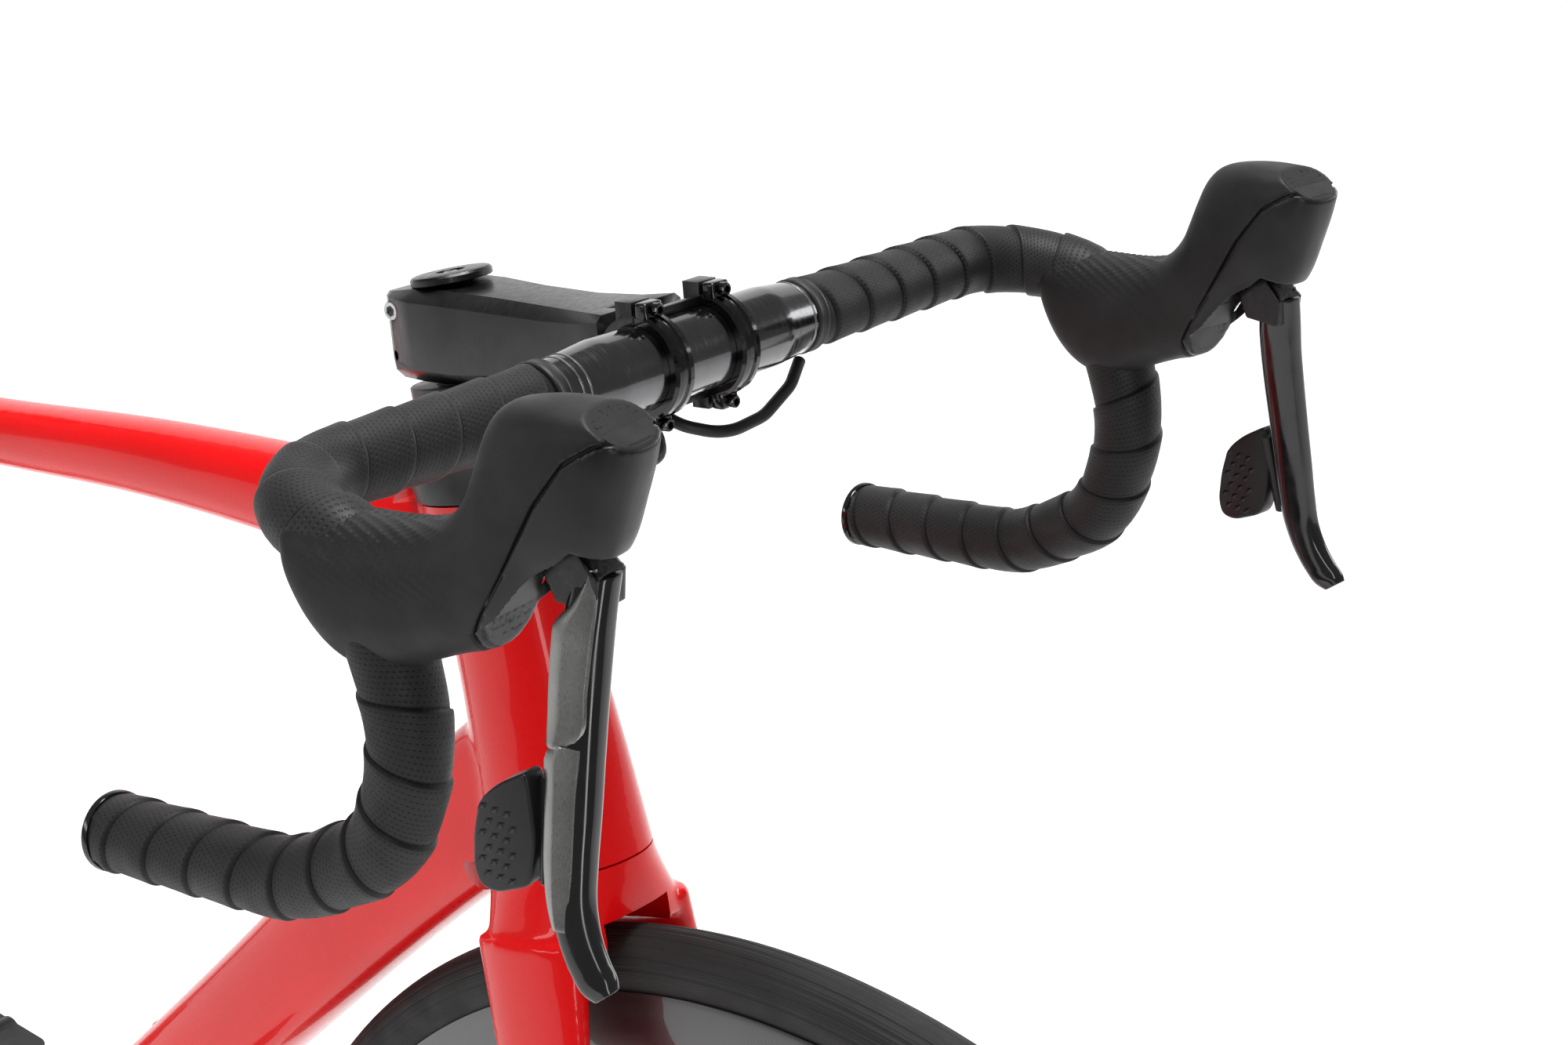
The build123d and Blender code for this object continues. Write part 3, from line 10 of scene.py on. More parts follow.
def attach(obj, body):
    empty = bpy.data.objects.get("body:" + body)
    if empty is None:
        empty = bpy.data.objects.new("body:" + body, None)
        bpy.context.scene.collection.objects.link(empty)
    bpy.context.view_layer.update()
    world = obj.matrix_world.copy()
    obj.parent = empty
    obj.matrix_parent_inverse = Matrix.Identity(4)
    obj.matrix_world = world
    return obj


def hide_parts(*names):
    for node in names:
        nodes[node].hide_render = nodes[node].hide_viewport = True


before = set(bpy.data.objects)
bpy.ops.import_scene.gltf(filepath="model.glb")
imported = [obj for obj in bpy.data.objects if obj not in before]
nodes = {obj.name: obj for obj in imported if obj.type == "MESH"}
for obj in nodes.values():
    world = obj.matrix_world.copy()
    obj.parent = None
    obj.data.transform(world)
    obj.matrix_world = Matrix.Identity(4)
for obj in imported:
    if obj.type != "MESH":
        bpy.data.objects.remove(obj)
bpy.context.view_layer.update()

# Shapes are worked out in millimetres, and mesh_object scales them to metres with MM.
MM = 0.001

# ---------------------------------------------------------------- the bicycle's own geometry
WHEELBASE = 981.0
WHEEL_RADIUS = 340.0
HEAD_ANGLE = math.radians(73.4)
SEAT_ANGLE = math.radians(73.5)
FORK_RAKE = 43.0
CROWN_TO_AXLE = 368.7
HEAD_LENGTH = 153.0
BB_DROP = 70.0
CHAINSTAY = 408.0
SEAT_TUBE = 515.0
STEM_LENGTH = 116.0
STEM_ANGLE = math.radians(-8.0)
STEM_RISE = 219.6
STEM_HEIGHT = 39.0
BAR_CLAMP = 15.9
BAR_RADIUS = 11.9
BAR_FLAT = 46.0
TAPER_END = 86.0
BAND_Y = 18.5
STEERER_BORE = 14.4
AXLE_BORE = 6.2
DROPOUT_Y = 71.3
DROPOUT_THICK = 7.8
HEAD_MOUTH = 47.9
SKIN_GAP = 0.3
LEVER_TURN = math.radians(6.5)
LEVER_FLARE = math.tan(math.radians(11.7))
LEVER_PIVOT = (125, 24)
TAPE_START = {1: 71.0, -1: 78.0}


def vec(*numbers):
    return np.array(numbers, dtype=float)


FRONT_AXLE = vec(WHEELBASE / 2, 0, WHEEL_RADIUS)
REAR_AXLE = vec(-WHEELBASE / 2, 0, WHEEL_RADIUS)
BB = vec(-WHEELBASE / 2 + math.sqrt(CHAINSTAY**2 - BB_DROP**2), 0, WHEEL_RADIUS - BB_DROP)
UP = vec(-math.cos(HEAD_ANGLE), 0, math.sin(HEAD_ANGLE))
AHEAD = vec(math.sin(HEAD_ANGLE), 0, math.cos(HEAD_ANGLE))
SEAT_UP = vec(-math.cos(SEAT_ANGLE), 0, math.sin(SEAT_ANGLE))
SEAT_AHEAD = vec(math.sin(SEAT_ANGLE), 0, math.cos(SEAT_ANGLE))
CROWN = FRONT_AXLE - AHEAD * FORK_RAKE + UP * CROWN_TO_AXLE
SEAT_TOP = BB + SEAT_UP * SEAT_TUBE
STEM_CENTRE = CROWN + UP * STEM_RISE
STEM_TILT = math.pi / 2 - HEAD_ANGLE + STEM_ANGLE
STEM_AHEAD = vec(math.cos(STEM_TILT), 0, math.sin(STEM_TILT))
STEM_UP = vec(-math.sin(STEM_TILT), 0, math.cos(STEM_TILT))
CLAMP = STEM_CENTRE + STEM_AHEAD * STEM_LENGTH
STEM_TOP = STEM_RISE + STEM_HEIGHT / 2
STEM_LOW = STEM_RISE - STEM_HEIGHT / 2
SIDEWAYS = vec(0, 1, 0)
SIDES = (("left", 1), ("right", -1))


def head_point(rise, ahead=0.0, side=0.0):
    return CROWN + UP * rise + AHEAD * ahead + vec(0, side, 0)


def bar_point(x, y, z):
    return CLAMP + vec(x, y, z)


# ---------------------------------------------------------------- mesh helpers
def unit(v):
    return v / np.linalg.norm(v)


def flow(stations, per):
    """Passes a smooth curve through rows of numbers; the first three of each are the place."""
    rows = np.array(stations, dtype=float)
    gaps = np.linalg.norm(np.diff(rows[:, :3], axis=0), axis=1)
    at = np.concatenate(([0], np.cumsum(np.maximum(gaps, 1e-6))))
    slopes = np.gradient(rows, at, axis=0) if len(rows) > 2 else np.repeat(
        [(rows[1] - rows[0]) / (at[1] - at[0])], 2, axis=0
    )
    out = []
    for i in range(len(rows) - 1):
        width = at[i + 1] - at[i]
        for t in np.linspace(0, 1, per, endpoint=False):
            a, b = 2 * t**3 - 3 * t**2 + 1, t**3 - 2 * t**2 + t
            c, d = -2 * t**3 + 3 * t**2, t**3 - t**2
            out.append(a * rows[i] + b * width * slopes[i] + c * rows[i + 1] + d * width * slopes[i + 1])
    out.append(rows[-1])
    return np.array(out)


def ring_of(centre, across, high, half_width, half_height, power=2.0, sides=48):
    """One closed rounded section: power 2 is an oval, and more is squarer."""
    ring = []
    for i in range(sides):
        turn = 2 * math.pi * i / sides
        c, s = math.cos(turn), math.sin(turn)
        u = math.copysign(abs(c) ** (2 / power), c) * half_width
        v = math.copysign(abs(s) ** (2 / power), s) * half_height
        ring.append(centre + across * u + high * v)
    return ring


def skin(rings, closed=False):
    """Vertices and faces of a tube through rings with equal counts, capped unless it closes on itself."""
    sides = len(rings[0])
    verts = [p for ring in rings for p in ring]
    faces = []
    count = len(rings)
    for i in range(count if closed else count - 1):
        j = (i + 1) % count
        for k in range(sides):
            n = (k + 1) % sides
            faces.append((i * sides + k, i * sides + n, j * sides + n, j * sides + k))
    if not closed:
        for ring, flip in ((0, True), (count - 1, False)):
            centre = len(verts)
            verts.append(sum(rings[ring]) / sides)
            for k in range(sides):
                n = (k + 1) % sides
                a, b = ring * sides + k, ring * sides + n
                faces.append((centre, b, a) if flip else (centre, a, b))
    return verts, faces


def joined(*parts):
    """Several shapes as one."""
    verts, faces = [], []
    for v, f in parts:
        base = len(verts)
        verts.extend(v)
        faces.extend(tuple(i + base for i in face) for face in f)
    return verts, faces


def edit_mesh(mesh, change):
    """Runs a change on a mesh's bmesh."""
    bm = bmesh.new()
    bm.from_mesh(mesh)
    change(bm)
    bm.to_mesh(mesh)
    bm.free()


def face_outward(bm):
    bmesh.ops.recalc_face_normals(bm, faces=bm.faces)


def mesh_object(name, shape, scale=MM):
    verts, faces = shape
    mesh = bpy.data.meshes.new(name)
    mesh.from_pydata([tuple(float(c) * scale for c in v) for v in verts], [], faces)
    edit_mesh(mesh, face_outward)
    obj = bpy.data.objects.new(name, mesh)
    bpy.context.scene.collection.objects.link(obj)
    return obj


def apply_all(obj):
    """Applies every modifier of a mesh object."""
    graph = bpy.context.evaluated_depsgraph_get()
    done = bpy.data.meshes.new_from_object(obj.evaluated_get(graph))
    old = obj.data
    obj.modifiers.clear()
    obj.data = done
    done.name = obj.name
    bpy.data.meshes.remove(old)


def shade(obj, angle=35.0):
    """Smooth shading with edges sharper than an angle kept."""
    for face in obj.data.polygons:
        face.use_smooth = True

    def mark(bm):
        for edge in bm.edges:
            edge.smooth = len(edge.link_faces) != 2 or edge.calc_face_angle(0) < math.radians(angle)

    edit_mesh(obj.data, mark)


def bevelled(obj, width_mm, segments=2, angle=30.0):
    mod = obj.modifiers.new("bevel", "BEVEL")
    mod.width = width_mm * MM
    mod.segments = segments
    mod.limit_method = "ANGLE"
    mod.angle_limit = math.radians(angle)
    mod.harden_normals = False
    apply_all(obj)


def combine(obj, tool, operation):
    """Joins a closed mesh to another or cuts it away, and removes the tool."""
    mod = obj.modifiers.new("combine", "BOOLEAN")
    mod.operation = operation
    mod.solver = "MANIFOLD"
    mod.object = tool
    apply_all(obj)
    bpy.data.objects.remove(tool, do_unlink=True)


def cut_away(obj, *shapes):
    """Cuts closed shapes out of a closed skin."""
    for shape in shapes:
        combine(obj, mesh_object("cutter", shape), "DIFFERENCE")


def subdivided(obj):
    mod = obj.modifiers.new("sub", "SUBSURF")
    mod.levels = 1
    mod.render_levels = 1
    apply_all(obj)


def melted(obj, voxel_mm, smoothing, factor=0.5):
    """Turns overlapping closed shells into one skin with soft joins."""
    mod = obj.modifiers.new("remesh", "REMESH")
    mod.mode = "VOXEL"
    mod.voxel_size = voxel_mm * MM
    mod = obj.modifiers.new("smooth", "SMOOTH")
    mod.factor = factor
    mod.iterations = smoothing
    apply_all(obj)


def piece(obj, body, materials, replaces=(), angle=35.0):
    """Finishes a piece: its material, shading and body, and hides the CAD nodes it replaces."""
    obj.data.materials.clear()
    obj.data.materials.append(materials)
    obj.data.polygons.foreach_set("material_index", [0] * len(obj.data.polygons))
    if angle:
        shade(obj, angle)
    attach(obj, body)
    if replaces:
        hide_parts(*replaces)
    return obj


def turned(centre, profile, steps):
    """Turns a closed outline of (radius, y) points about a Y axis through a centre."""
    rings = []
    for i in range(steps):
        turn = 2 * math.pi * i / steps
        out = vec(math.cos(turn), 0, math.sin(turn))
        rings.append([centre + out * r + vec(0, y, 0) for r, y in profile])
    return skin(rings, closed=True)


def rounded_path(points, radii, step=3.0):
    """A path through corners, each rounded by its own radius, as close points."""
    points = [np.array(p, dtype=float) for p in points]
    path = [points[0]]
    for i, radius in enumerate(radii):
        a, b, c = points[i], points[i + 1], points[i + 2]
        into, out = unit(b - a), unit(c - b)
        turn = math.acos(max(-1, min(1, float(into @ out))))
        reach = radius * math.tan(turn / 2)
        start = b - into * reach
        normal = unit(out - into * float(into @ out))
        centre = start + normal * radius
        count = max(3, int(radius * turn / step) + 1)
        straight(path, start, step)
        for k in range(1, count + 1):
            t = turn * k / count
            path.append(centre - normal * radius * math.cos(t) + into * radius * math.sin(t))
    straight(path, points[-1], step)
    return np.array(path)


def straight(path, end, step):
    start = path[-1]
    count = max(1, int(np.linalg.norm(end - start) / step))
    for k in range(1, count + 1):
        path.append(start + (end - start) * k / count)


def carried_frames(path, first_side):
    """A direction, a side and an up for each point, carried without twist."""
    tangents = np.gradient(path, axis=0)
    tangents /= np.linalg.norm(tangents, axis=1)[:, None]
    side = unit(first_side - tangents[0] * float(first_side @ tangents[0]))
    sides = []
    for t in tangents:
        side = unit(side - t * float(side @ t))
        sides.append(side)
    sides = np.array(sides)
    return tangents, sides, np.cross(tangents, sides)


def lengths_along(path):
    return np.concatenate(([0], np.cumsum(np.linalg.norm(np.diff(path, axis=0), axis=1))))


def row_at(place, at, rows):
    """A row of numbers at a length along a path."""
    return np.array([np.interp(place, at, rows[:, i]) for i in range(3)])


def tube_along(path, radius_at, sides, first_side):
    """A tube whose radius is a function of the length along it."""
    tangents, across, high = carried_frames(path, first_side)
    at = lengths_along(path)
    rings = [
        ring_of(path[i], across[i], high[i], radius_at(at[i]), radius_at(at[i]), 2.0, sides)
        for i in range(len(path))
    ]
    return skin(rings)


def box_shape(centre, along, high, size):
    half_along, half_across, half_high = (
        way * length / 2 for way, length in zip((along, np.cross(high, along), high), size)
    )
    signs = product((-1, 1), repeat=3)
    verts = [centre + half_along * a + half_across * b + half_high * c for a, b, c in signs]
    faces = [(0, 1, 3, 2), (4, 6, 7, 5), (0, 4, 5, 1), (2, 3, 7, 6), (0, 2, 6, 4), (1, 5, 7, 3)]
    return verts, faces


def prism(outline, low, high):
    """A plate from an outline in X and Z, between two Ys."""
    n = len(outline)
    verts = [vec(x, low, z) for x, z in outline] + [vec(x, high, z) for x, z in outline]
    faces = [tuple(range(n)), tuple(range(2 * n - 1, n - 1, -1))]
    faces += [(i, (i + 1) % n, n + (i + 1) % n, n + i) for i in range(n)]
    return verts, faces


def rod_shape(start, end, radius, sides=24, chamfer=0.0):
    """A round bar with optional small end chamfers."""
    axis = unit(end - start)
    other = SIDEWAYS if abs(axis[1]) < 0.9 else vec(1, 0, 0)
    across = unit(np.cross(axis, other))
    high = np.cross(axis, across)
    steps = [(start, radius), (end, radius)]
    if chamfer:
        steps = [(start, radius - chamfer), (start + axis * chamfer, radius)]
        steps += [(end - axis * chamfer, radius), (end, radius - chamfer)]
    return skin([ring_of(p, across, high, r, r, 2.0, sides) for p, r in steps])


# ---------------------------------------------------------------- materials
class Nodes:
    """Builds one procedural material around a Principled shader."""

    def __init__(self, name, colour, rough, metal=0.0, coat=0.0, coat_rough=0.03, specular=0.5):
        self.material = bpy.data.materials.new(name)
        self.material.use_nodes = True
        self.tree = self.material.node_tree
        self.shader = self.tree.nodes["Principled BSDF"]
        self.set("Base Color", (*colour, 1))
        self.set("Roughness", rough)
        self.set("Metallic", metal)
        self.set("Coat Weight", coat)
        self.set("Coat Roughness", coat_rough)
        self.set("Specular IOR Level", specular)
        self.coords = self.tree.nodes.new("ShaderNodeTexCoord")
        self.last_normal = None

    def set(self, socket, value):
        self.shader.inputs[socket].default_value = value

    def node(self, kind, **inputs):
        made = self.tree.nodes.new(kind)
        for key, value in inputs.items():
            made.inputs[key].default_value = value
        return made

    def link(self, a, b):
        self.tree.links.new(a, b)

    def place(self, scale=(1, 1, 1)):
        mapping = self.node("ShaderNodeMapping", Scale=scale)
        self.link(self.coords.outputs["Object"], mapping.inputs["Vector"])
        return mapping.outputs["Vector"]

    def laid(self):
        """The two lengths of the UV map."""
        split = self.tree.nodes.new("ShaderNodeSeparateXYZ")
        self.link(self.coords.outputs["UV"], split.inputs[0])
        return split.outputs["X"], split.outputs["Y"]

    def noise(self, scale, detail=4.0, stretch=(1, 1, 1)):
        made = self.node("ShaderNodeTexNoise", Scale=scale, Detail=detail)
        self.link(self.place(stretch), made.inputs["Vector"])
        return made.outputs["Fac"]

    def ramp(self, value, low, high, to_low, to_high):
        made = self.tree.nodes.new("ShaderNodeMapRange")
        for socket, number in zip(("From Min", "From Max", "To Min", "To Max"), (low, high, to_low, to_high)):
            made.inputs[socket].default_value = number
        self.link(value, made.inputs["Value"])
        return made.outputs["Result"]

    def vary_rough(self, value, low, high):
        self.link(self.ramp(value, 0.3, 0.7, low, high), self.shader.inputs["Roughness"])

    def vary_colour(self, value, one, two, low=0.35, high=0.65):
        mix = self.tree.nodes.new("ShaderNodeMix")
        mix.data_type = "RGBA"
        mix.inputs[6].default_value = (*one, 1)
        mix.inputs[7].default_value = (*two, 1)
        self.link(self.ramp(value, low, high, 0, 1), mix.inputs[0])
        self.link(mix.outputs[2], self.shader.inputs["Base Color"])

    def bump(self, value, strength, distance_mm):
        made = self.node("ShaderNodeBump", Strength=strength, Distance=distance_mm * MM)
        self.link(value, made.inputs["Height"])
        if self.last_normal is not None:
            self.link(self.last_normal, made.inputs["Normal"])
        self.last_normal = made.outputs["Normal"]
        self.link(self.last_normal, self.shader.inputs["Normal"])

    def maths(self, operation, a, b=None):
        made = self.tree.nodes.new("ShaderNodeMath")
        made.operation = operation
        for socket, value in zip(made.inputs, (a, b)):
            if value is None:
                continue
            if isinstance(value, (int, float)):
                socket.default_value = value
            else:
                self.link(value, socket)
        return made.outputs[0]


def paint_material(name, colour, deeper):
    """Deep gloss lacquer with a faint orange peel."""
    made = Nodes(name, colour, 0.32, specular=0.12, coat=0.55, coat_rough=0.03)
    made.set("Coat IOR", 1.42)
    made.vary_colour(made.noise(9.0, 2.0), colour, deeper)
    made.vary_rough(made.noise(420.0, 2.0), 0.26, 0.36)
    made.bump(made.noise(90.0, 1.0), 0.03, 0.04)
    return made.material


def grained_material(name, colour, rough, scale=1800.0, depth_mm=0.06, strength=0.35, specular=0.5):
    """Moulded plastic or rubber with a fine grain."""
    made = Nodes(name, colour, rough, specular=specular)
    brighter = tuple(c * 1.5 for c in colour)
    made.vary_colour(made.noise(55.0, 5.0), colour, brighter)
    made.vary_rough(made.noise(90.0, 4.0), rough - 0.07, rough + 0.07)
    made.bump(made.noise(scale, 3.0), strength, depth_mm)
    return made.material


def metal_material(name, colour, rough, stretch=(1, 1, 1), scale=500.0, coat=0.0):
    """Machined or brushed metal, its marks drawn out along one direction."""
    made = Nodes(name, colour, rough, metal=1.0, coat=coat, coat_rough=0.08)
    marks = made.noise(scale, 6.0, stretch)
    made.vary_rough(marks, max(0.04, rough - 0.09), rough + 0.1)
    made.vary_colour(made.noise(60.0, 4.0), colour, tuple(c * 0.82 for c in colour))
    made.bump(marks, 0.12, 0.03)
    return made.material


def woven_material(name, colour, rough, scale, coat):
    """Carbon cloth under lacquer: a fine twill that shows only in the gloss."""
    made = Nodes(name, colour, rough, coat=coat, coat_rough=0.04)
    threads = []
    for slant in (1, -1):
        wave = made.node("ShaderNodeTexWave", Scale=scale, Distortion=0.0)
        wave.bands_direction = "DIAGONAL"
        made.link(made.place((1, slant, 1)), wave.inputs["Vector"])
        threads.append(wave.outputs["Fac"])
    both = made.maths("MULTIPLY", *threads)
    made.vary_colour(both, colour, tuple(c * 2.2 + 0.004 for c in colour), 0.2, 0.8)
    made.vary_rough(made.noise(40.0, 3.0), rough - 0.04, rough + 0.05)
    return made.material


# ---------------------------------------------------------------- the finishes
WRAP_PITCH = 21.0
HOLE_PITCH = 1.9


def tape_material():
    """Bar tape: rows of small perforations and a seam, laid along the wrap by its UV map, with painted shade
    darkening the holes and the groove of the seam.
    """
    made = Nodes("bar_tape_finish", (0.011, 0.011, 0.012), 0.5, specular=0.25)
    maths = made.maths
    around, along = made.laid()
    holes_per_metre = 1000 / HOLE_PITCH
    rows = maths("MULTIPLY", along, holes_per_metre)
    shift = maths("MULTIPLY", maths("MODULO", maths("FLOOR", rows), 2.0), 0.5)
    columns = maths("ADD", maths("MULTIPLY", around, holes_per_metre), shift)
    dx = maths("SUBTRACT", maths("FRACT", columns), 0.5)
    dy = maths("MULTIPLY", maths("SUBTRACT", maths("FRACT", rows), 0.5), 1.6)
    away = maths("SQRT", maths("ADD", maths("MULTIPLY", dx, dx), maths("MULTIPLY", dy, dy)))
    # The hole mask sets the bump depth of each perforation and also the painted shade inside it.
    hole_depth_and_shade = made.ramp(away, 0.20, 0.34, 0.0, 1.0)
    share = maths("FRACT", maths("DIVIDE", along, WRAP_PITCH * MM))
    # Painted shade: the colour darkens in the groove where each turn's edge meets the next.
    seam = maths("MULTIPLY", made.ramp(share, 0.0, 0.05, 0.0, 1.0), made.ramp(share, 0.95, 0.985, 1.0, 0.0))
    painted_shade = maths("MULTIPLY", seam, maths("ADD", 0.25, maths("MULTIPLY", hole_depth_and_shade, 0.75)))
    # Painted shade: the colour is near black in the seam groove and darker inside the holes.
    made.vary_colour(painted_shade, (0.0006, 0.0006, 0.0006), (0.013, 0.013, 0.0135), 0.0, 1.0)
    made.vary_rough(made.noise(70.0, 4.0), 0.46, 0.64)
    made.bump(hole_depth_and_shade, 0.7, 0.35)
    made.bump(made.noise(1500.0, 2.0), 0.25, 0.06)
    return made.material


TREAD_LINES = 46


def tyre_material():
    """Tyre rubber: fine moulded circles around the wheel, and dusty grain."""
    made = Nodes("tyre_finish", (0.012, 0.012, 0.012), 0.7, specular=0.3)
    lines = made.maths("SINE", made.maths("MULTIPLY", made.laid()[1], 2 * math.pi * TREAD_LINES))
    made.vary_colour(made.noise(30.0, 5.0), (0.009, 0.009, 0.0095), (0.017, 0.0165, 0.0165))
    made.vary_rough(made.noise(60.0, 4.0), 0.55, 0.78)
    made.bump(made.ramp(lines, 0.2, 1.0, 0.0, 1.0), 0.5, 0.25)
    made.bump(made.noise(1300.0, 3.0), 0.2, 0.08)
    return made.material


RED = paint_material("red_lacquer", (0.70, 0.0008, 0.0022), (0.62, 0.0004, 0.0014))
TAPE = tape_material()
TYRE = tyre_material()
HOOD = grained_material("hood_rubber", (0.0095, 0.0095, 0.010), 0.52, 2300.0, 0.10, 0.42, specular=0.2)
SHELL = grained_material(
    "lever_shell_plastic", (0.008, 0.008, 0.0085), 0.36, 2900.0, 0.05, 0.28, specular=0.25,
)
RUBBER = grained_material("black_rubber_finish", (0.010, 0.010, 0.010), 0.5, specular=0.3)
PLASTIC = grained_material(
    "black_plastic_finish", (0.010, 0.010, 0.011), 0.38, 1500.0, 0.05, 0.2, specular=0.35,
)
ALLOY = metal_material("black_anodised_alloy", (0.035, 0.035, 0.037), 0.34, coat=0.1)
BAR = metal_material("polished_black_bar", (0.10, 0.101, 0.105), 0.17, (1, 12, 1), 160.0, coat=0.7)
BAND = metal_material("gloss_black_clamp", (0.022, 0.022, 0.023), 0.2, coat=0.6)
SATIN = metal_material("satin_black_stem", (0.045, 0.045, 0.047), 0.36, (8, 1, 1), 240.0, coat=0.15)
SILVER = metal_material("brushed_silver", (0.29, 0.29, 0.28), 0.30, (30, 1, 2), 420.0)
STEEL = metal_material("bright_steel", (0.52, 0.52, 0.53), 0.24, (1, 1, 30), 380.0)
GLOSS = grained_material("gloss_black", (0.006, 0.006, 0.0065), 0.12, 300.0, 0.02, 0.05)
CARBON = woven_material("gloss_carbon_finish", (0.010, 0.010, 0.011), 0.32, 260.0, 0.9)
LEATHER = grained_material("saddle_leather", (0.018, 0.018, 0.019), 0.48, 900.0, 0.12, 0.4)
BRASS = metal_material("pad_backing", (0.38, 0.30, 0.20), 0.4)


# ---------------------------------------------------------------- frame
HEAD_SECTIONS = (
    (-14, 66, 73, 0, 2.1), (0, 64, 71.5, 0, 2.1), (34, 57.5, 69.5, 0, 2.1), (80, 50, 66, -1, 2.1),
    (153, 51.5, 65.5, -2, 2.1), (166, 51.5, 65.5, -2, 2.1),
)
CROWN_SECTIONS = (
    (12, 63.5, 71.5, 0, 2.1), (0, 63.5, 71.5, 0, 2.1), (-16, 71.5, 69.5, 0, 2.4), (-34, 83.5, 63.5, 0, 3.2),
)
STAY_END = 75.2


def between(start, end, rows):
    """Stations (place, width, depth) from one end to the other."""
    out = [(*start, *rows[0])]
    for share, ahead, side, rise, width, depth in rows[1:-1]:
        out.append((*(start + (end - start) * share + vec(ahead, side, rise)), width, depth))
    return out + [(*end, *rows[-1])]


TOP_ROWS = (
    (29, 31), (0.38, 1.6, 0, 5.0, 31, 32), (0.61, -0.4, 0, 9.1, 34, 36), (0.80, -1.7, 0, 7.6, 38, 42),
    (44, 52),
)
DOWN_ROWS = (
    (62, 50), (0.25, 1.2, 0, -0.1, 55, 56), (0.58, -1.1, 0, 0.7, 52, 57), (0.84, -0.6, 0, 4.2, 50, 62),
    (48, 66),
)
STAY_ROWS = (
    (17, 36), (0.14, -1.4, -5.4, -6.5, 15, 32), (0.25, -1.5, -5.3, -8.0, 15, 28),
    (0.52, -1.2, 2.4, -7.4, 14, 23),
    (0.83, -0.3, 4.7, -5.4, 12, 21), (7.6, 20),
)
SEATSTAY_ROWS = (
    (14, 28), (0.15, -2.2, -1.1, 3.5, 12, 22), (0.32, -4.9, -5.5, 3.6, 11, 19),
    (0.70, -3.5, -1.9, 0.9, 11, 17),
    (7.6, 17),
)


def mirrored(stations):
    return [(row[0], -row[1], *row[2:]) for row in stations]


def oval_bar(stations, power=2.15, sides=56):
    """A bar through (x, y, z, width, depth): width goes across the bicycle."""
    rows = flow(stations, 10)
    tangents = np.gradient(rows[:, :3], axis=0)
    rings = []
    for row, tangent in zip(rows, tangents):
        along = unit(tangent)
        across = unit(SIDEWAYS - along * along[1])
        half_width, half_depth = row[3] / 2 - SKIN_GAP, row[4] / 2 - SKIN_GAP
        rings.append(ring_of(row[:3], across, np.cross(along, across), half_width, half_depth, power, sides))
    return skin(rings)


def drum(centre, radius, low, high, sides=64):
    """A rod across the bicycle, between two Ys."""
    return rod_shape(centre + vec(0, low, 0), centre + vec(0, high, 0), radius, sides=sides)


def head_loft(sections, per=8, gap=SKIN_GAP):
    """A skin along the steering axis, through (rise, width, depth, shift ahead, power) rows."""
    rows = flow([(*head_point(row[0], row[3]), row[1], row[2], row[4]) for row in sections], per)
    return skin([head_ring(r[:3], r[3] / 2 - gap, r[4] / 2 - gap, r[5]) for r in rows])


def head_ring(place, half_width, half_depth, power=2.0):
    """One ring square to the steering axis."""
    return ring_of(place, SIDEWAYS, AHEAD, half_width, half_depth, power, 72)


DOWN_ENDS = (BB + vec(4, 0, 8), head_point(40, -4))
BOSS_STEPS = (-32.0, 32.0)


def boss_places():
    """Each bottle boss's mouth and the way it faces, on the down tube and then the seat tube."""
    first, second = (vec(*row[:3]) for row in between(*DOWN_ENDS, DOWN_ROWS)[1:3])
    down = unit(second - first)
    out = vec(-down[2], 0, down[0])
    for step in BOSS_STEPS:
        yield first + down * (70 + step) + out * 28.8, out
    for step in BOSS_STEPS:
        yield BB + SEAT_UP * (235 + step) + SEAT_AHEAD * 20.6, SEAT_AHEAD


SEAT_ROWS = ((0, 34, 40), (250, 31, 40), (440, 33, 38), (SEAT_TUBE, 35, 35))


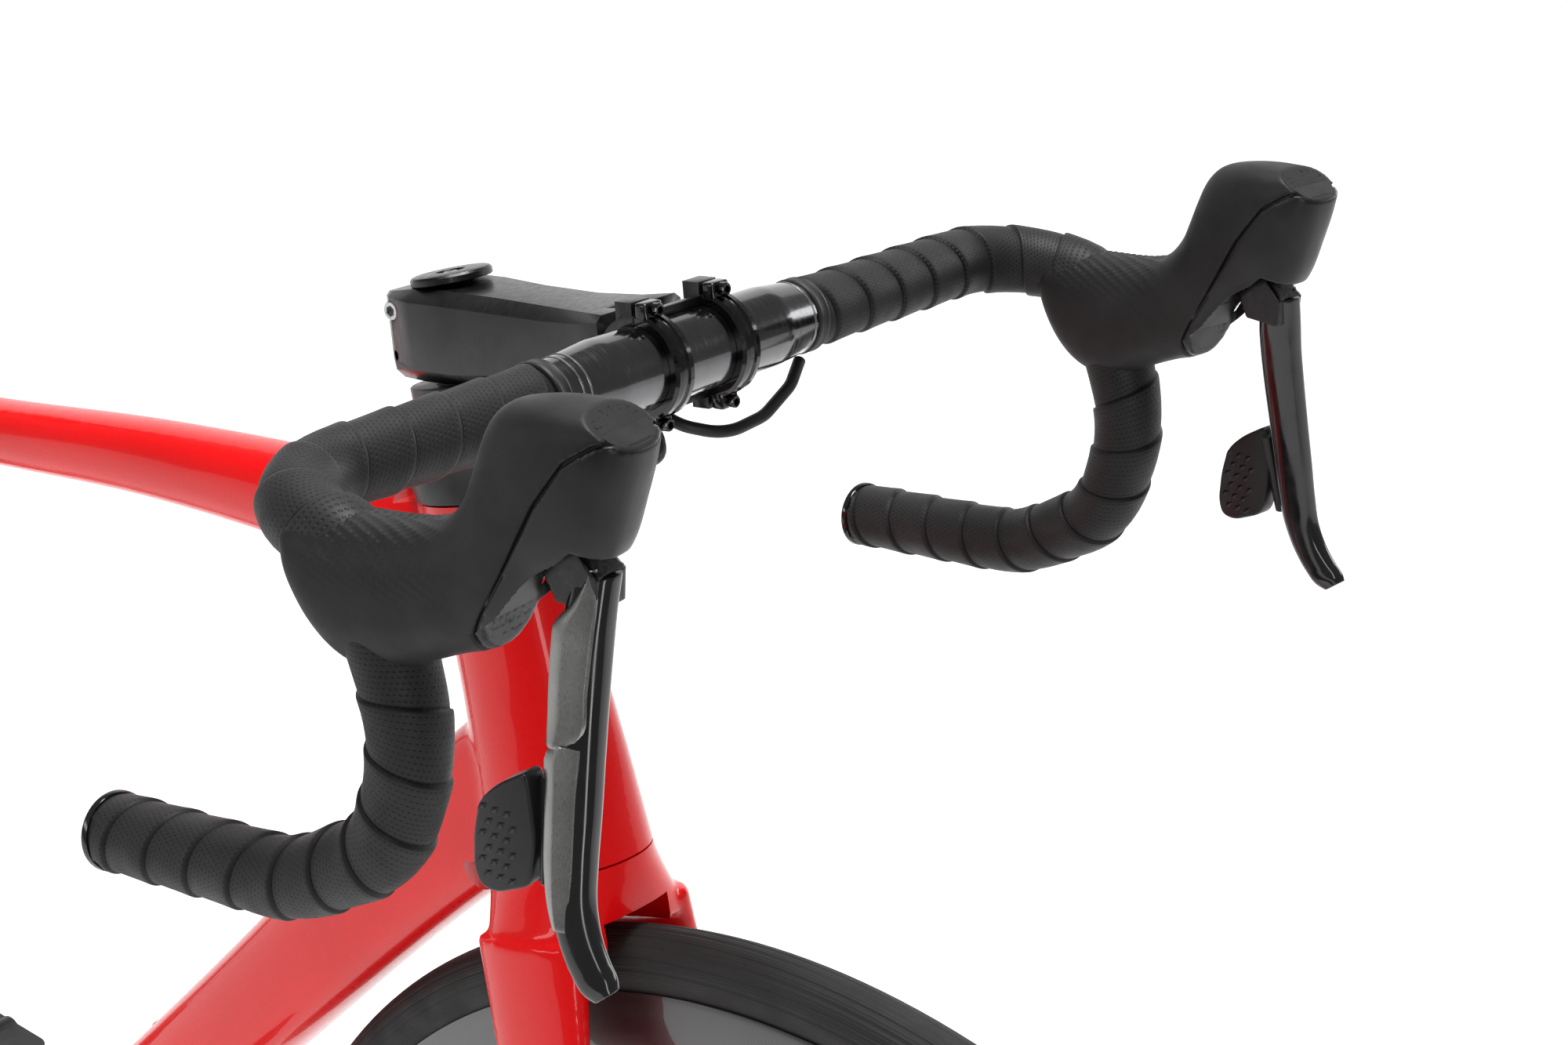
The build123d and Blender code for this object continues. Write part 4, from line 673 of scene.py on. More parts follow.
def build_frame():
    """The one-piece frame: its tubes flow into each other, then its seats are cut."""
    stays = between(BB + vec(-6, 26, 0), REAR_AXLE + vec(6, STAY_END, -2), STAY_ROWS)
    stay_top = BB + SEAT_UP * (SEAT_TUBE - 67) + vec(-4, 11, 0)
    seatstays = between(stay_top, REAR_AXLE + vec(4, STAY_END, 6), SEATSTAY_ROWS)
    seat_tube = [(*(BB + SEAT_UP * rise), width, depth) for rise, width, depth in SEAT_ROWS]
    hanger = vec(REAR_AXLE[0] - 10, 0, REAR_AXLE[2] - 28)
    outline = [
        (REAR_AXLE[0] - 14, REAR_AXLE[2] + 2), (REAR_AXLE[0] - 20, hanger[2] - 8),
        (REAR_AXLE[0] - 2, hanger[2] - 8), (REAR_AXLE[0] + 14, REAR_AXLE[2] - 4),
    ]
    shapes = [
        head_loft(HEAD_SECTIONS),
        oval_bar(between(SEAT_TOP - SEAT_UP * 27, head_point(128, -18), TOP_ROWS), 2.35),
        oval_bar(between(*DOWN_ENDS, DOWN_ROWS), 2.5),
        oval_bar(seat_tube, 2.2),
        drum(BB, 24.7, -42.8, 42.8),
        box_shape(REAR_AXLE + vec(70, 69, -11), vec(1, 0, 0), vec(0, 0, 1), (50, 11.6, 17.4)),
        prism(outline, -DROPOUT_Y - DROPOUT_THICK, -DROPOUT_Y),
    ]
    for rows in (stays, seatstays):
        shapes += [oval_bar(rows), oval_bar(mirrored(rows))]
    for _, side in SIDES:
        low, high = sorted((side * DROPOUT_Y, side * (DROPOUT_Y + DROPOUT_THICK)))
        shapes.append(drum(REAR_AXLE, 14.8, low, high))
    frame_obj = mesh_object("frame_monocoque", joined(*shapes))
    melted(frame_obj, 1.9, 14)
    cuts = [
        rod_shape(head_point(-80), head_point(0.8), HEAD_MOUTH, sides=96),
        rod_shape(head_point(HEAD_LENGTH), head_point(HEAD_LENGTH + 60), HEAD_MOUTH, sides=96),
        rod_shape(SEAT_TOP - SEAT_UP * 60, SEAT_TOP + SEAT_UP * 30, 13.8, sides=64),
        drum(BB, 20.6, -60, 60),
        drum(REAR_AXLE, AXLE_BORE, -90, 90),
        drum(hanger, 5.1, -90, -60),
        drum(REAR_AXLE, 60, -DROPOUT_Y, DROPOUT_Y),
        rod_shape(head_point(-5), head_point(9.6), 26.1, sides=64),
        rod_shape(head_point(HEAD_LENGTH - 8), head_point(HEAD_LENGTH + 9), 21.1, sides=64),
        rod_shape(head_point(8), head_point(HEAD_LENGTH - 6), 20.5, sides=64),
    ]
    cut_away(frame_obj, *cuts)
    for mouth, out in boss_places():
        cut_away(frame_obj, rod_shape(mouth - out * 10, mouth + out * 6, 2.5, sides=24))
    piece(frame_obj, "frame", RED, ["frame"], 42)
    for i, (mouth, out) in enumerate(boss_places()):
        insert = rod_shape(mouth - out * 6, mouth - out * 0.2, 4.9, sides=36, chamfer=0.5)
        ring = mesh_object(f"bottle_boss_{i + 1}", insert)
        cut_away(ring, rod_shape(mouth - out * 9, mouth + out * 3, 2.4, sides=24))
        piece(ring, "frame", ALLOY)


LEG = (
    (-26, 0, 30, 24, 60), (-75, 0, 37, 17, 52), (-150, 1, 44, 14, 42), (-230, 8, 50, 13, 34),
    (-310, 24, 55, 11.5, 28),
    (-360.7, 41, 55.6, 10.5, 24),
)


def build_fork():
    """The fork: a shouldered crown, two blades and the steerer inside the head."""
    leg = [(*head_point(rise, ahead, side), width, depth) for rise, ahead, side, width, depth in LEG]
    pad = box_shape(head_point(-CROWN_TO_AXLE + 62, 2 + 7.2, 51), AHEAD, UP, (13.6, 7.6, 53.4))
    shapes = [head_loft(CROWN_SECTIONS), oval_bar(leg), oval_bar(mirrored(leg)), pad]
    shapes += [drum(FRONT_AXLE, 12.8, 50.3, 60.8), drum(FRONT_AXLE, 12.8, -60.8, -50.3)]
    fork = mesh_object("fork_monocoque", joined(*shapes))
    melted(fork, 1.5, 12)
    cut_away(
        fork,
        rod_shape(head_point(0), head_point(40), 60, sides=48),
        drum(FRONT_AXLE, WHEEL_RADIUS + 7.2, -18.8, 18.8, 256),
        drum(FRONT_AXLE, AXLE_BORE, -70, 70),
        drum(FRONT_AXLE, 30, -50.3, 50.3),
    )
    tube = rod_shape(head_point(-10), head_point(STEM_RISE + 17), 14.1, sides=64)
    steerer = mesh_object("steerer_tube", tube)
    piece(fork, "steering", RED, ["fork"], 42)
    piece(steerer, "steering", ALLOY)


# ---------------------------------------------------------------- wheels
WHEEL_STEPS = 240


def build_wheel(name, axle, body):
    """A tyre with moulded circles and a deep rim with its brake-side shape."""
    centre = WHEEL_RADIUS - 14.0
    tread = []
    for i, turn in enumerate(np.linspace(-2.06, 2.06, 73)):
        radius = 13.4 if i % 6 == 3 and 6 < i < 66 else 13.75
        tread.append((centre + radius * math.cos(turn), radius * math.sin(turn)))
    profile = tread + [(309.5, 9.2), (308.2, 7.2), (309.2, 6.2), (309.2, -6.2), (308.2, -7.2), (309.5, -9.2)]
    tyre = mesh_object(f"{name}_tyre_skin", turned(axle, profile, WHEEL_STEPS))
    add_wheel_uv(tyre, len(profile))
    piece(tyre, body, TYRE, [f"{name}_tyre"], 40)
    top, inner = 315.6, 270.6
    wall = (
        (top - 3, 12.6, 0), (top - 12, 13.8, 0), (top - 28, 12.8, 0),
        (inner + 8, 8.9, 0), (inner + 1.4, 4.2, 0), (inner + 0.2, 0.4, 0),
    )
    half = [(top, 10.4), (top - 0.2, 11.9), (top - 1.4, 12.3)] + [(row[0], row[1]) for row in flow(wall, 6)]
    profile = [(307.6, 9.4)] + half + [(r, -y) for r, y in reversed(half)] + [(307.6, -9.4)]
    rim = mesh_object(f"{name}_rim_skin", turned(axle, profile, WHEEL_STEPS))
    piece(rim, body, CARBON, [f"{name}_rim"], 40)


def add_wheel_uv(obj, per_ring):
    """Lays a UV map around the wheel and across its section."""
    layer = obj.data.uv_layers.new(name="around")
    for face in obj.data.polygons:
        columns = [v // per_ring for v in face.vertices]
        rows = [v % per_ring for v in face.vertices]
        for loop, column, row in zip(face.loop_indices, columns, rows):
            if max(columns) - min(columns) > WHEEL_STEPS / 2 and column == 0:
                column = WHEEL_STEPS
            if max(rows) - min(rows) > per_ring / 2 and row == 0:
                row = per_ring
            layer.data[loop].uv = (column / WHEEL_STEPS * 40, row / per_ring)


# ---------------------------------------------------------------- handlebar and tape
def bar_rows(side):
    rows = ((52, 204, -3), (73, 203, -62), (62, 204, -103), (20, 207, -130), (-69, 211, -143))
    return [bar_point(x, side * y, z) for x, y, z in rows]


def bar_line(side, first, step=2.0):
    points = [bar_point(0, side * first, 0), bar_point(0, side * 205, 0)] + bar_rows(side)
    return rounded_path(points, (36, 20, 60, 40, 70), step)


def taper(y):
    """The bar's radius at a distance from the middle."""
    share = min(1, max(0, (TAPER_END - y) / (TAPER_END - BAR_FLAT)))
    return BAR_RADIUS + (BAR_CLAMP - BAR_RADIUS) * share


def build_bar():
    """The bar: round in the clamp, tapering out to the grips, in one piece."""
    line = np.array([bar_point(0, y, 0) for y in np.linspace(-BAR_FLAT, BAR_FLAT, 40)])
    left, right = bar_line(1, BAR_FLAT), bar_line(-1, BAR_FLAT)
    path = np.concatenate((right[::-1], line[1:-1], left))
    reach = lengths_along(left)[-1]
    total = 2 * (reach + BAR_FLAT)

    def radius_at(at):
        from_end = reach - min(at, total - at)
        return taper(BAR_FLAT + max(from_end, 0)) - 0.05

    bar = mesh_object("handlebar_tube", tube_along(path, radius_at, 56, vec(0, 0, 1)))
    piece(bar, "steering", BAR, ["handlebar"], 40)
    for name, side in SIDES:
        for k, y in enumerate((62.0, 65.5)):
            profile = ((0.02, -0.5), (0.14, -0.35), (0.14, 0.35), (0.02, 0.5), (-0.6, 0))
            ring = [(taper(y) + lift, along) for lift, along in profile]
            mark = mesh_object(f"{name}_bar_mark_{k + 1}", turned(bar_point(0, side * y, 0), ring, 64))
            piece(mark, "steering", SILVER)


def without_slivers(bm):
    bmesh.ops.dissolve_degenerate(bm, dist=2e-6, edges=bm.edges)
    face_outward(bm)


# One turn of wrap, from its exposed edge: (share of the pitch, radius)
WRAP_PROFILE = (
    (0.0, 13.35), (0.012, 13.4), (0.03, 14.28), (0.06, 14.42), (0.14, 14.36), (0.3, 14.12), (0.5, 13.92),
    (0.7, 13.74),
    (0.85, 13.6), (0.95, 13.48), (0.99, 13.36),
)
WRAP_END_RADIUS = 13.4


def build_tape(name, side):
    """Tape wound in overlapping turns, each edge standing on the turn before."""
    path = bar_line(side, TAPE_START[side], 1.0)
    _, across, high = carried_frames(path, vec(0, 0, 1))
    at = lengths_along(path)
    total = at[-1]
    turns = int(total / WRAP_PITCH) + 3
    steps = 64
    shares = [(t + share, radius) for t in range(-2, turns) for share, radius in WRAP_PROFILE]
    verts, uvs = [], []
    for share, radius in shares:
        for k in range(steps):
            turn = 2 * math.pi * k / steps
            s = (share + side * k / steps) * WRAP_PITCH
            held = min(max(s, 0.0), total)
            a, b = unit(row_at(held, at, across)), unit(row_at(held, at, high))
            r = radius if 0 < s < total else WRAP_END_RADIUS
            verts.append(row_at(held, at, path) + (a * math.cos(turn) + b * math.sin(turn)) * r)
            uvs.append(((turn + 2 * math.pi * side * math.floor(share)) * 14e-3, share * WRAP_PITCH * MM))
    faces = []
    for i in range(len(shares) - 1):
        for k in range(steps):
            n = (k + 1) % steps
            if n:
                faces.append((i * steps + k, i * steps + n, (i + 1) * steps + n, (i + 1) * steps + k))
            else:
                hop = len(WRAP_PROFILE) * side
                j, m = i + hop, i + 1 + hop
                if 0 <= j and m < len(shares):
                    faces.append((i * steps + k, j * steps, m * steps, (i + 1) * steps + k))
    tape = mesh_object(f"{name}_tape_wrap", (verts, faces))
    layer = tape.data.uv_layers.new(name="wrap")
    for face in tape.data.polygons:
        low = min(uvs[v][1] for v in face.vertices)
        for loop, v in zip(face.loop_indices, face.vertices):
            u, w = uvs[v]
            if w - low > 0.5 * WRAP_PITCH * MM:
                w -= WRAP_PITCH * MM
            layer.data[loop].uv = (u, w)
    edit_mesh(tape.data, without_slivers)
    piece(tape, "steering", TAPE, [f"{name}_bar_tape"], 60)


# A finishing band's rounded outer edge and an end plug's face: (radius, along)
BAND_EDGE = (
    (13.7, -3.3), (14.6, -2.9), (14.9, -2.0), (14.65, -1.2), (14.65, 1.2), (14.9, 2.0), (14.6, 2.9),
    (13.7, 3.3),
)
PLUG_RINGS = (
    (13.2, 0), (14.1, 0.1), (14.45, 0.9), (14.4, 2.4), (13.6, 3.3), (12.0, 3.85),
    (10.8, 3.7), (10.2, 3.2), (6, 3.2), (5.2, 3.5), (1, 3.6),
)


def build_trim():
    """The finishing bands and the end plugs."""
    for name, side in SIDES:
        first = TAPE_START[side]
        bore = taper(first - 6) - 0.2
        profile = [(bore, -3.3), *BAND_EDGE, (bore, 3.3)]
        middle = bar_point(0, side * (first - 3.6), 0)
        band = mesh_object(f"{name}_finishing_band", turned(middle, profile, 72))
        piece(band, "steering", RUBBER)
        points = bar_rows(side)
        out = unit(points[-1] - points[-2])
        start = points[-1] + out * 0.2
        across = unit(np.cross(out, vec(0, 0, 1)))
        high = np.cross(across, out)
        rings = [ring_of(start + out * a, across, high, r, r, 2, 64) for r, a in PLUG_RINGS]
        plug = mesh_object(f"{name}_end_plug", skin(rings))
        piece(plug, "steering", GLOSS)
    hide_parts("bar_tape_trim")


# ---------------------------------------------------------------- hoods and levers
def set_matrix(side):
    """From an upright lever set, outward +Y, to its place on the bar."""
    heel = bar_point(27, side * 206, 0)
    turn = Matrix.Rotation(-side * LEVER_TURN, 4, "Z")
    flip = Matrix.Diagonal((1, side, 1, 1))
    to_heel = Matrix.Translation(Vector(heel) * MM)
    from_heel = Matrix.Translation(Vector((-heel[0], 0, -heel[2])) * MM)
    return to_heel @ turn @ flip @ from_heel


def stand(obj, side):
    """Moves an upright piece's mesh onto its side, and keeps its faces outward."""
    obj.data.transform(set_matrix(side))
    if side < 0:
        obj.data.flip_normals()
    return obj


def at_set(x, y, z):
    return vec(CLAMP[0] + x, y, CLAMP[2] + z)


# Top point, bottom point and width of the grip, from the heel to the head
HOOD_ROWS = (
    (27.6, 3.6, 28.6, -8, 27), (32, 5.2, 30, -15, 31), (38, 6.8, 35, -26, 33), (47, 8.6, 44, -36, 33.6),
    (58, 10.2, 58, -40.4, 33.6),
    (68, 11.6, 70, -37.6, 33.4), (78, 13.8, 84, -30, 33), (86, 17.2, 96, -24.2, 32.8),
    (92, 22.6, 106, -20.2, 33),
    (97, 30.6, 115.5, -13.5, 33.2), (99.4, 38, 122.5, -4.6, 33.4), (101.6, 46, 131, 4.6, 33.4),
    (104.4, 53.6, 143, 12.4, 33.4), (109, 58.6, 149.5, 22, 33.2),
    (117, 61.6, 153.4, 36, 32.4), (128, 63.6, 155.8, 47, 30.4), (139, 64.4, 157, 55, 26),
)
SEAM = ((161, 61), (147, 56.6), (138, 50), (128, 35), (116, 10), (104.6, -12), (103.4, -27))


def hood_skin(name, slimmer):
    """The hood's whole outside, or the same shape a little smaller."""
    rows = [((a + c) / 2, (b + d) / 2, 0, (a - c) / 2, (b - d) / 2, width) for a, b, c, d, width in HOOD_ROWS]
    rings = []
    for mx, mz, _, hx, hz, width in flow(rows, 5):
        half = math.hypot(hx, hz)
        high = vec(hx / half, 0, hz / half)
        half_width, half_height = width / 2 - slimmer, half - slimmer
        rings.append(ring_of(at_set(mx, 0, mz), SIDEWAYS, high, half_width, half_height, 2.45, 56))
    return mesh_object(name, skin(rings))


def seam_prism(shift, front):
    """Everything ahead of the seam, or behind it, a little to one side."""
    line = [at_set(x, 0, z) for x, z in SEAM]
    moved = []
    for i, p in enumerate(line):
        a, b = line[max(i - 1, 0)], line[min(i + 1, len(line) - 1)]
        run = unit(b - a)
        moved.append(p + vec(run[2], 0, -run[0]) * -shift)
    ahead, behind = ((118, -60), (200, -60), (200, 61)), ((80, -60), (0, -60), (0, 100), (161, 100))
    far = [at_set(x, 0, z) for x, z in (ahead if front else behind)]
    return prism([(p[0], p[2]) for p in moved + far], -30, 30)


def upright(points):
    """Points of an upright lever set, as an outline in X and Z."""
    return [(CLAMP[0] + x, CLAMP[2] + z) for x, z in points]


def throat():
    """The slot that the lever swings in."""
    px, pz = LEVER_PIVOT
    outline = (
        (px - 11, pz + 6), (px + 9.5, pz), (px + 44, 13), (px + 44, -60), (px - 26, -60),
        (px - 14, pz - 20),
    )
    return prism(upright(outline), -13.4, 13.4)


def grip_ribs(obj):
    """Raises small slanted ribs in rows on the grip's top and upper sides."""
    mesh = obj.data
    co, normals = np.zeros((2, len(mesh.vertices), 3))
    mesh.vertices.foreach_get("co", co.ravel())
    mesh.vertices.foreach_get("normal", normals.ravel())
    co /= MM
    x, y, z = co[:, 0] - CLAMP[0], co[:, 1], co[:, 2] - CLAMP[2]
    around = np.arctan2(np.abs(y), np.maximum(z + 14, 0.1)) * 17
    zone = np.clip((x - 33) / 8, 0, 1) * np.clip((93 - x) / 9, 0, 1)
    zone *= np.clip((23 - around) / 6, 0, 1) * np.clip(normals[:, 2] + 0.35, 0, 1)
    u = x / 3.1 + around / 5.2
    v = x / 8.5 - around / 2.35
    ribs = np.clip(np.cos(2 * np.pi * v) * 1.6, -0.4, 1) * np.clip(0.6 + np.cos(2 * np.pi * u), 0, 1)
    co += normals * (ribs * zone * 0.30)[:, None]
    mesh.vertices.foreach_set("co", (co * MM).ravel())
    mesh.update()


def build_hood(name, side):
    """The rubber grip, the hard shell ahead of its seam, and a core that closes the seam's gap."""
    grip = hood_skin(f"{name}_hood_rubber", 0.0)
    cut_away(grip, seam_prism(-0.35, True), throat())
    melted(grip, 0.75, 5)
    grip_ribs(grip)
    stand(grip, side)
    piece(grip, "steering", HOOD, [f"{name}_hood"], 55)
    shell = hood_skin(f"{name}_lever_shell", 0.25)
    cut_away(shell, seam_prism(0.35, False), throat())
    melted(shell, 0.75, 6)
    stand(shell, side)
    piece(shell, "steering", SHELL, [f"{name}_lever_body"], 55)
    core = hood_skin(f"{name}_lever_core", 2.2)
    cut_away(core, throat())
    stand(core, side)
    piece(core, "steering", PLASTIC, angle=40)


# Front edge, rear edge and half width of the blade, from its top to its tip
BLADE_ROWS = (
    (147.6, 14.4, 133.0, 12, 6.3), (147.8, 4, 132.2, 0, 6.5), (148.2, -8, 132.0, -8, 6.6),
    (149.2, -22, 133.2, -22, 6.5),
    (150.8, -40, 135.4, -40, 6.3), (152.6, -58, 137.6, -58, 6.1), (153.8, -72, 139.4, -73, 5.9),
    (155.6, -84, 142.2, -86, 5.6),
    (159.4, -93, 147.0, -97.0, 5.2), (163.4, -98.6, 152.2, -104.4, 4.9),
    (166.8, -102.4, 157.4, -109.2, 4.5), (168.0, -105.0, 161.6, -110.6, 3.4),
)


def blade_ring(row, sides=48):
    """One section of the blade, fuller behind than in front."""
    fx, fz, rx, rz, half = row
    mx, mz = (fx + rx) / 2, (fz + rz) / 2
    lean = LEVER_FLARE * (14 - mz)
    reach = math.hypot(fx - rx, fz - rz) / 2
    ahead = unit(vec(fx - rx, 0, fz - rz))
    ring = []
    for i in range(sides):
        turn = 2 * math.pi * i / sides
        c, s = math.cos(turn), math.sin(turn)
        u = math.copysign(abs(c) ** 0.82, c) * reach
        v = math.copysign(abs(s) ** 0.72, s) * half * (1.0 - 0.16 * c)
        ring.append(at_set(mx, lean, mz) + ahead * u + SIDEWAYS * v)
    return ring


def build_lever(name, side):
    """The blade with its hub and two outer flank plates, which are silver on the right lever."""
    rows = flow([(a, b, 0, c, d, e) for a, b, c, d, e in BLADE_ROWS], 8)
    rings = [blade_ring((a, b, c, d, e)) for a, b, _, c, d, e in rows]
    blade = mesh_object(f"{name}_blade", skin(rings))
    subdivided(blade)
    stand(blade, side)
    piece(blade, f"{name}_lever", GLOSS, [f"{name}_brake_lever"], 50)
    px, pz = LEVER_PIVOT
    eye = drum(at_set(px, 0, pz), 8.3, -7.3, 7.3, 48)
    neck_outline = ((px - 8.3, pz), (px + 8.3, pz), (px + 20, 13.6), (px + 20, 3), (px + 5, 3))
    neck = prism(upright(neck_outline), -7.2, 7.2)
    hub = mesh_object(f"{name}_lever_hub", joined(eye, neck))
    melted(hub, 0.8, 3)
    cut_away(hub, drum(at_set(px, 0, pz), 2.6, -20, 20, 32))
    stand(hub, side)
    piece(hub, f"{name}_lever", ALLOY, angle=50)
    for part, rows in (("upper", UPPER_FLANK), ("lower", LOWER_FLANK)):
        build_flank(name, side, part, rows, SILVER if side < 0 else SHELL)


# The flank's two plates: height, rear edge and front edge of each row
UPPER_FLANK = (
    (16, 141.6, 143.0), (11, 139.2, 144.6), (4, 135.6, 145.2), (-3, 130.6, 145.4), (-8, 130.8, 145.6),
    (-20, 131.9, 146.0),
    (-32, 133.4, 146.6), (-38, 134.2, 142.6),
)
LOWER_FLANK = (
    (-36.6, 137.6, 146.6), (-40, 134.4, 147.0), (-50, 135.6, 147.6), (-62, 137.2, 148.8),
    (-74, 139.0, 150.0), (-84, 141.6, 150.6), (-91, 144.6, 151.2),
)


# A plate's section from rear to front: (share of its width, lift off the blade)
FLANK_PROFILE = (
    (0.0, -2.6), (0.05, -0.5), (0.2, 0.35), (0.36, 0.9), (0.42, 0.9), (0.7, 0.5), (0.95, 0.1), (1.0, -0.8),
)


def build_flank(name, side, part, flank_rows, finish):
    """A plate on the blade's outer side, creased along its length."""
    rows = flow([(z, back, front) for z, back, front in flank_rows], 4)
    verts, faces = [], []
    for z, back, front in rows:
        lean = LEVER_FLARE * (14 - z)
        half = np.interp(-z, [-14.6, 8, 40, 74, 104], [6.3, 6.6, 6.3, 5.9, 4.9])
        for share, lift in FLANK_PROFILE:
            verts.append(at_set(back + (front - back) * share, lean + half * (1.06 - 0.12 * share) + lift, z))
    n = len(FLANK_PROFILE)
    for i in range(len(rows) - 1):
        for k in range(n - 1):
            faces.append((i * n + k, i * n + k + 1, (i + 1) * n + k + 1, (i + 1) * n + k))
    flank = mesh_object(f"{name}_blade_{part}_flank", (verts, faces))
    mod = flank.modifiers.new("solid", "SOLIDIFY")
    mod.thickness = 1.6 * MM
    mod.offset = -1
    apply_all(flank)
    bevelled(flank, 0.25, 2, 40)
    stand(flank, side)
    piece(flank, f"{name}_lever", finish, angle=32)


PADDLE = (
    (131, -46), (119.5, -54), (113, -61), (111, -72), (111, -84), (113.5, -90), (120, -90.5), (133, -84),
    (134.6, -68),
)


def rounded_outline(points, radius, steps=5):
    """A closed outline with each corner rounded."""
    out = []
    n = len(points)
    for i in range(n):
        p = np.array(points[i], float)
        a, b = np.array(points[i - 1], float), np.array(points[(i + 1) % n], float)
        reach = min(radius, np.linalg.norm(a - p) * 0.45, np.linalg.norm(b - p) * 0.45)
        start, end = p + unit(a - p) * reach, p + unit(b - p) * reach
        for t in np.linspace(0, 1, steps):
            out.append(tuple((1 - t) ** 2 * start + 2 * t * (1 - t) * p + t**2 * end))
    return out


def diamond(centre, face):
    """A small ridged diamond, raised from one face of the paddle."""
    long_way, wide = unit(vec(0.8, 0, 0.75)), unit(vec(-0.75, 0, 0.8))
    lift = SIDEWAYS * (face * 0.75)
    verts = [centre + long_way * a + wide * b for a, b in ((2.5, 0), (0, 1.25), (-2.5, 0), (0, -1.25))]
    verts += [centre + long_way * 1.3 + lift, centre - long_way * 1.3 + lift]
    return verts, [(0, 1, 4), (1, 2, 5), (1, 5, 4), (2, 3, 5), (3, 0, 4), (3, 4, 5), (3, 2, 1, 0)]


def build_paddle(name, side):
    """The shift paddle, with diamond ribs over its rear half."""
    lean = LEVER_FLARE * 84
    outline = rounded_outline(upright(PADDLE), 4)
    plate = mesh_object(f"{name}_paddle_plate", prism(outline, lean - 4.2, lean + 4.2))
    bevelled(plate, 1.3, 3, 40)
    top, low = at_set(131.8, LEVER_FLARE * 64, -50), at_set(138.2, LEVER_FLARE * 96, -82)
    barrel = mesh_object(f"{name}_paddle_hinge", rod_shape(top, low, 2.3, sides=28, chamfer=0.5))
    stand(barrel, side)
    piece(barrel, f"{name}_paddle", PLASTIC)
    ribs = []
    for row, column, face in product(range(6), range(3), (-1, 1)):
        x = 114.5 + column * 4.6 + (row % 2) * 2.3
        if x <= 126:
            ribs.append(diamond(at_set(x, lean + face * 4.15, -62.5 - row * 4.4), face))
    texture = mesh_object(f"{name}_paddle_ribs", joined(*ribs))
    for obj in (plate, texture):
        stand(obj, side)
    piece(plate, f"{name}_paddle", SHELL, [f"{name}_shift_paddle"], 45)
    piece(texture, f"{name}_paddle", SHELL, angle=20)


# ---------------------------------------------------------------- stem and headset
def stem_point(along, rise, side=0.0):
    return STEM_CENTRE + STEM_AHEAD * along + STEM_UP * rise + vec(0, side, 0)


def stem_section(along, half_width, top, low, top_edge, low_edge):
    """Eight corners: a flat top and chamfered sides."""
    rows = (
        (half_width - top_edge, top), (half_width, top - top_edge * 0.8),
        (half_width, low + low_edge), (half_width - low_edge, low),
    )
    right = [stem_point(along, z, -y) for y, z in rows]
    left = [stem_point(along, z, y) for y, z in reversed(rows)]
    return right + left


def steerer_hole(low, high):
    return rod_shape(head_point(low), head_point(high), STEERER_BORE, sides=64)


def clamp_ear(side, level, ahead, rise=20.6):
    """A place at one of the clamp's four ears: the side, then above or below the bar."""
    return CLAMP + STEM_UP * (level * rise) + STEM_AHEAD * ahead + SIDEWAYS * (side * BAND_Y)


PINCH_BACK = -21.5
PINCH_BOLTS = ((9, -1), (-9, 1))


def pinch_hole(rise, first, last, radius, sides):
    """A hole across the stem, behind the steerer."""
    start, end = (stem_point(PINCH_BACK, rise, at) for at in (first, last))
    return rod_shape(start, end, radius, sides=sides)


def build_stem():
    """A squared stem with a flat top, a notched front and a clamp for the steerer behind."""
    sections = (
        (-27, 13.5, 17.5, -14.5, 4, 3), (-22, 17, 18.6, -18.8, 5, 4), (-8, 20.6, 18.9, -19, 6, 6),
        (12, 20.4, 18.7, -19, 6, 6),
        (36, 18.6, 17.6, -16.6, 6, 5), (64, 18.6, 16.6, -15.8, 5.5, 5), (84, 20.6, 16.8, -16.6, 4.5, 5),
        (97, 23.2, 17.6, -18, 3, 4.5),
    )
    rings = [stem_section(*row) for row in sections]
    body = mesh_object("stem_body", skin(rings))
    seat = mesh_object("clamp_seat", drum(CLAMP, BAR_CLAMP + 3.4, -23.6, 23.6, 96))
    cut_away(seat, box_shape(CLAMP + STEM_AHEAD * 20, STEM_AHEAD, STEM_UP, (39.4, 60, 60)))
    combine(body, seat, "UNION")
    for side in (-1, 1):
        for level in (-1, 1):
            place = clamp_ear(side, level, -4.6)
            combine(body, mesh_object("ear", box_shape(place, STEM_AHEAD, STEM_UP, (8, 9.8, 7.3))), "UNION")
    cuts = [
        drum(CLAMP, BAR_CLAMP + 0.1, -60, 60, 96),
        steerer_hole(STEM_LOW - 30, STEM_TOP - 3),
        box_shape(head_point(STEM_TOP + 10), AHEAD, UP, (160, 80, 20.2)),
        box_shape(head_point(STEM_LOW - 10, -12), AHEAD, UP, (90, 80, 20.2)),
        box_shape(head_point(STEM_RISE, -26), AHEAD, UP, (26, 2, 60)),
        *(pinch_hole(rise, -30, 30, 2.1, 24) for rise in (9, -9)),
        *(pinch_hole(rise, side * 30, side * 13, 4.2, 32) for rise, side in PINCH_BOLTS),
        box_shape(stem_point(96, 24), STEM_AHEAD, STEM_UP, (16, 17, 16)),
    ]
    cut_away(body, *cuts)
    bevelled(body, 0.7, 2, 28)
    piece(body, "steering", SATIN, ["stem"], 28)
    for rise, side in PINCH_BOLTS:
        head = bolt_shape(stem_point(PINCH_BACK, rise, side * 13.3), vec(0, side, 0), 3.9, 4.2)
        bolt = mesh_object("steerer_bolt_" + ("right" if side < 0 else "left"), head)
        piece(bolt, "steering", STEEL, angle=30)


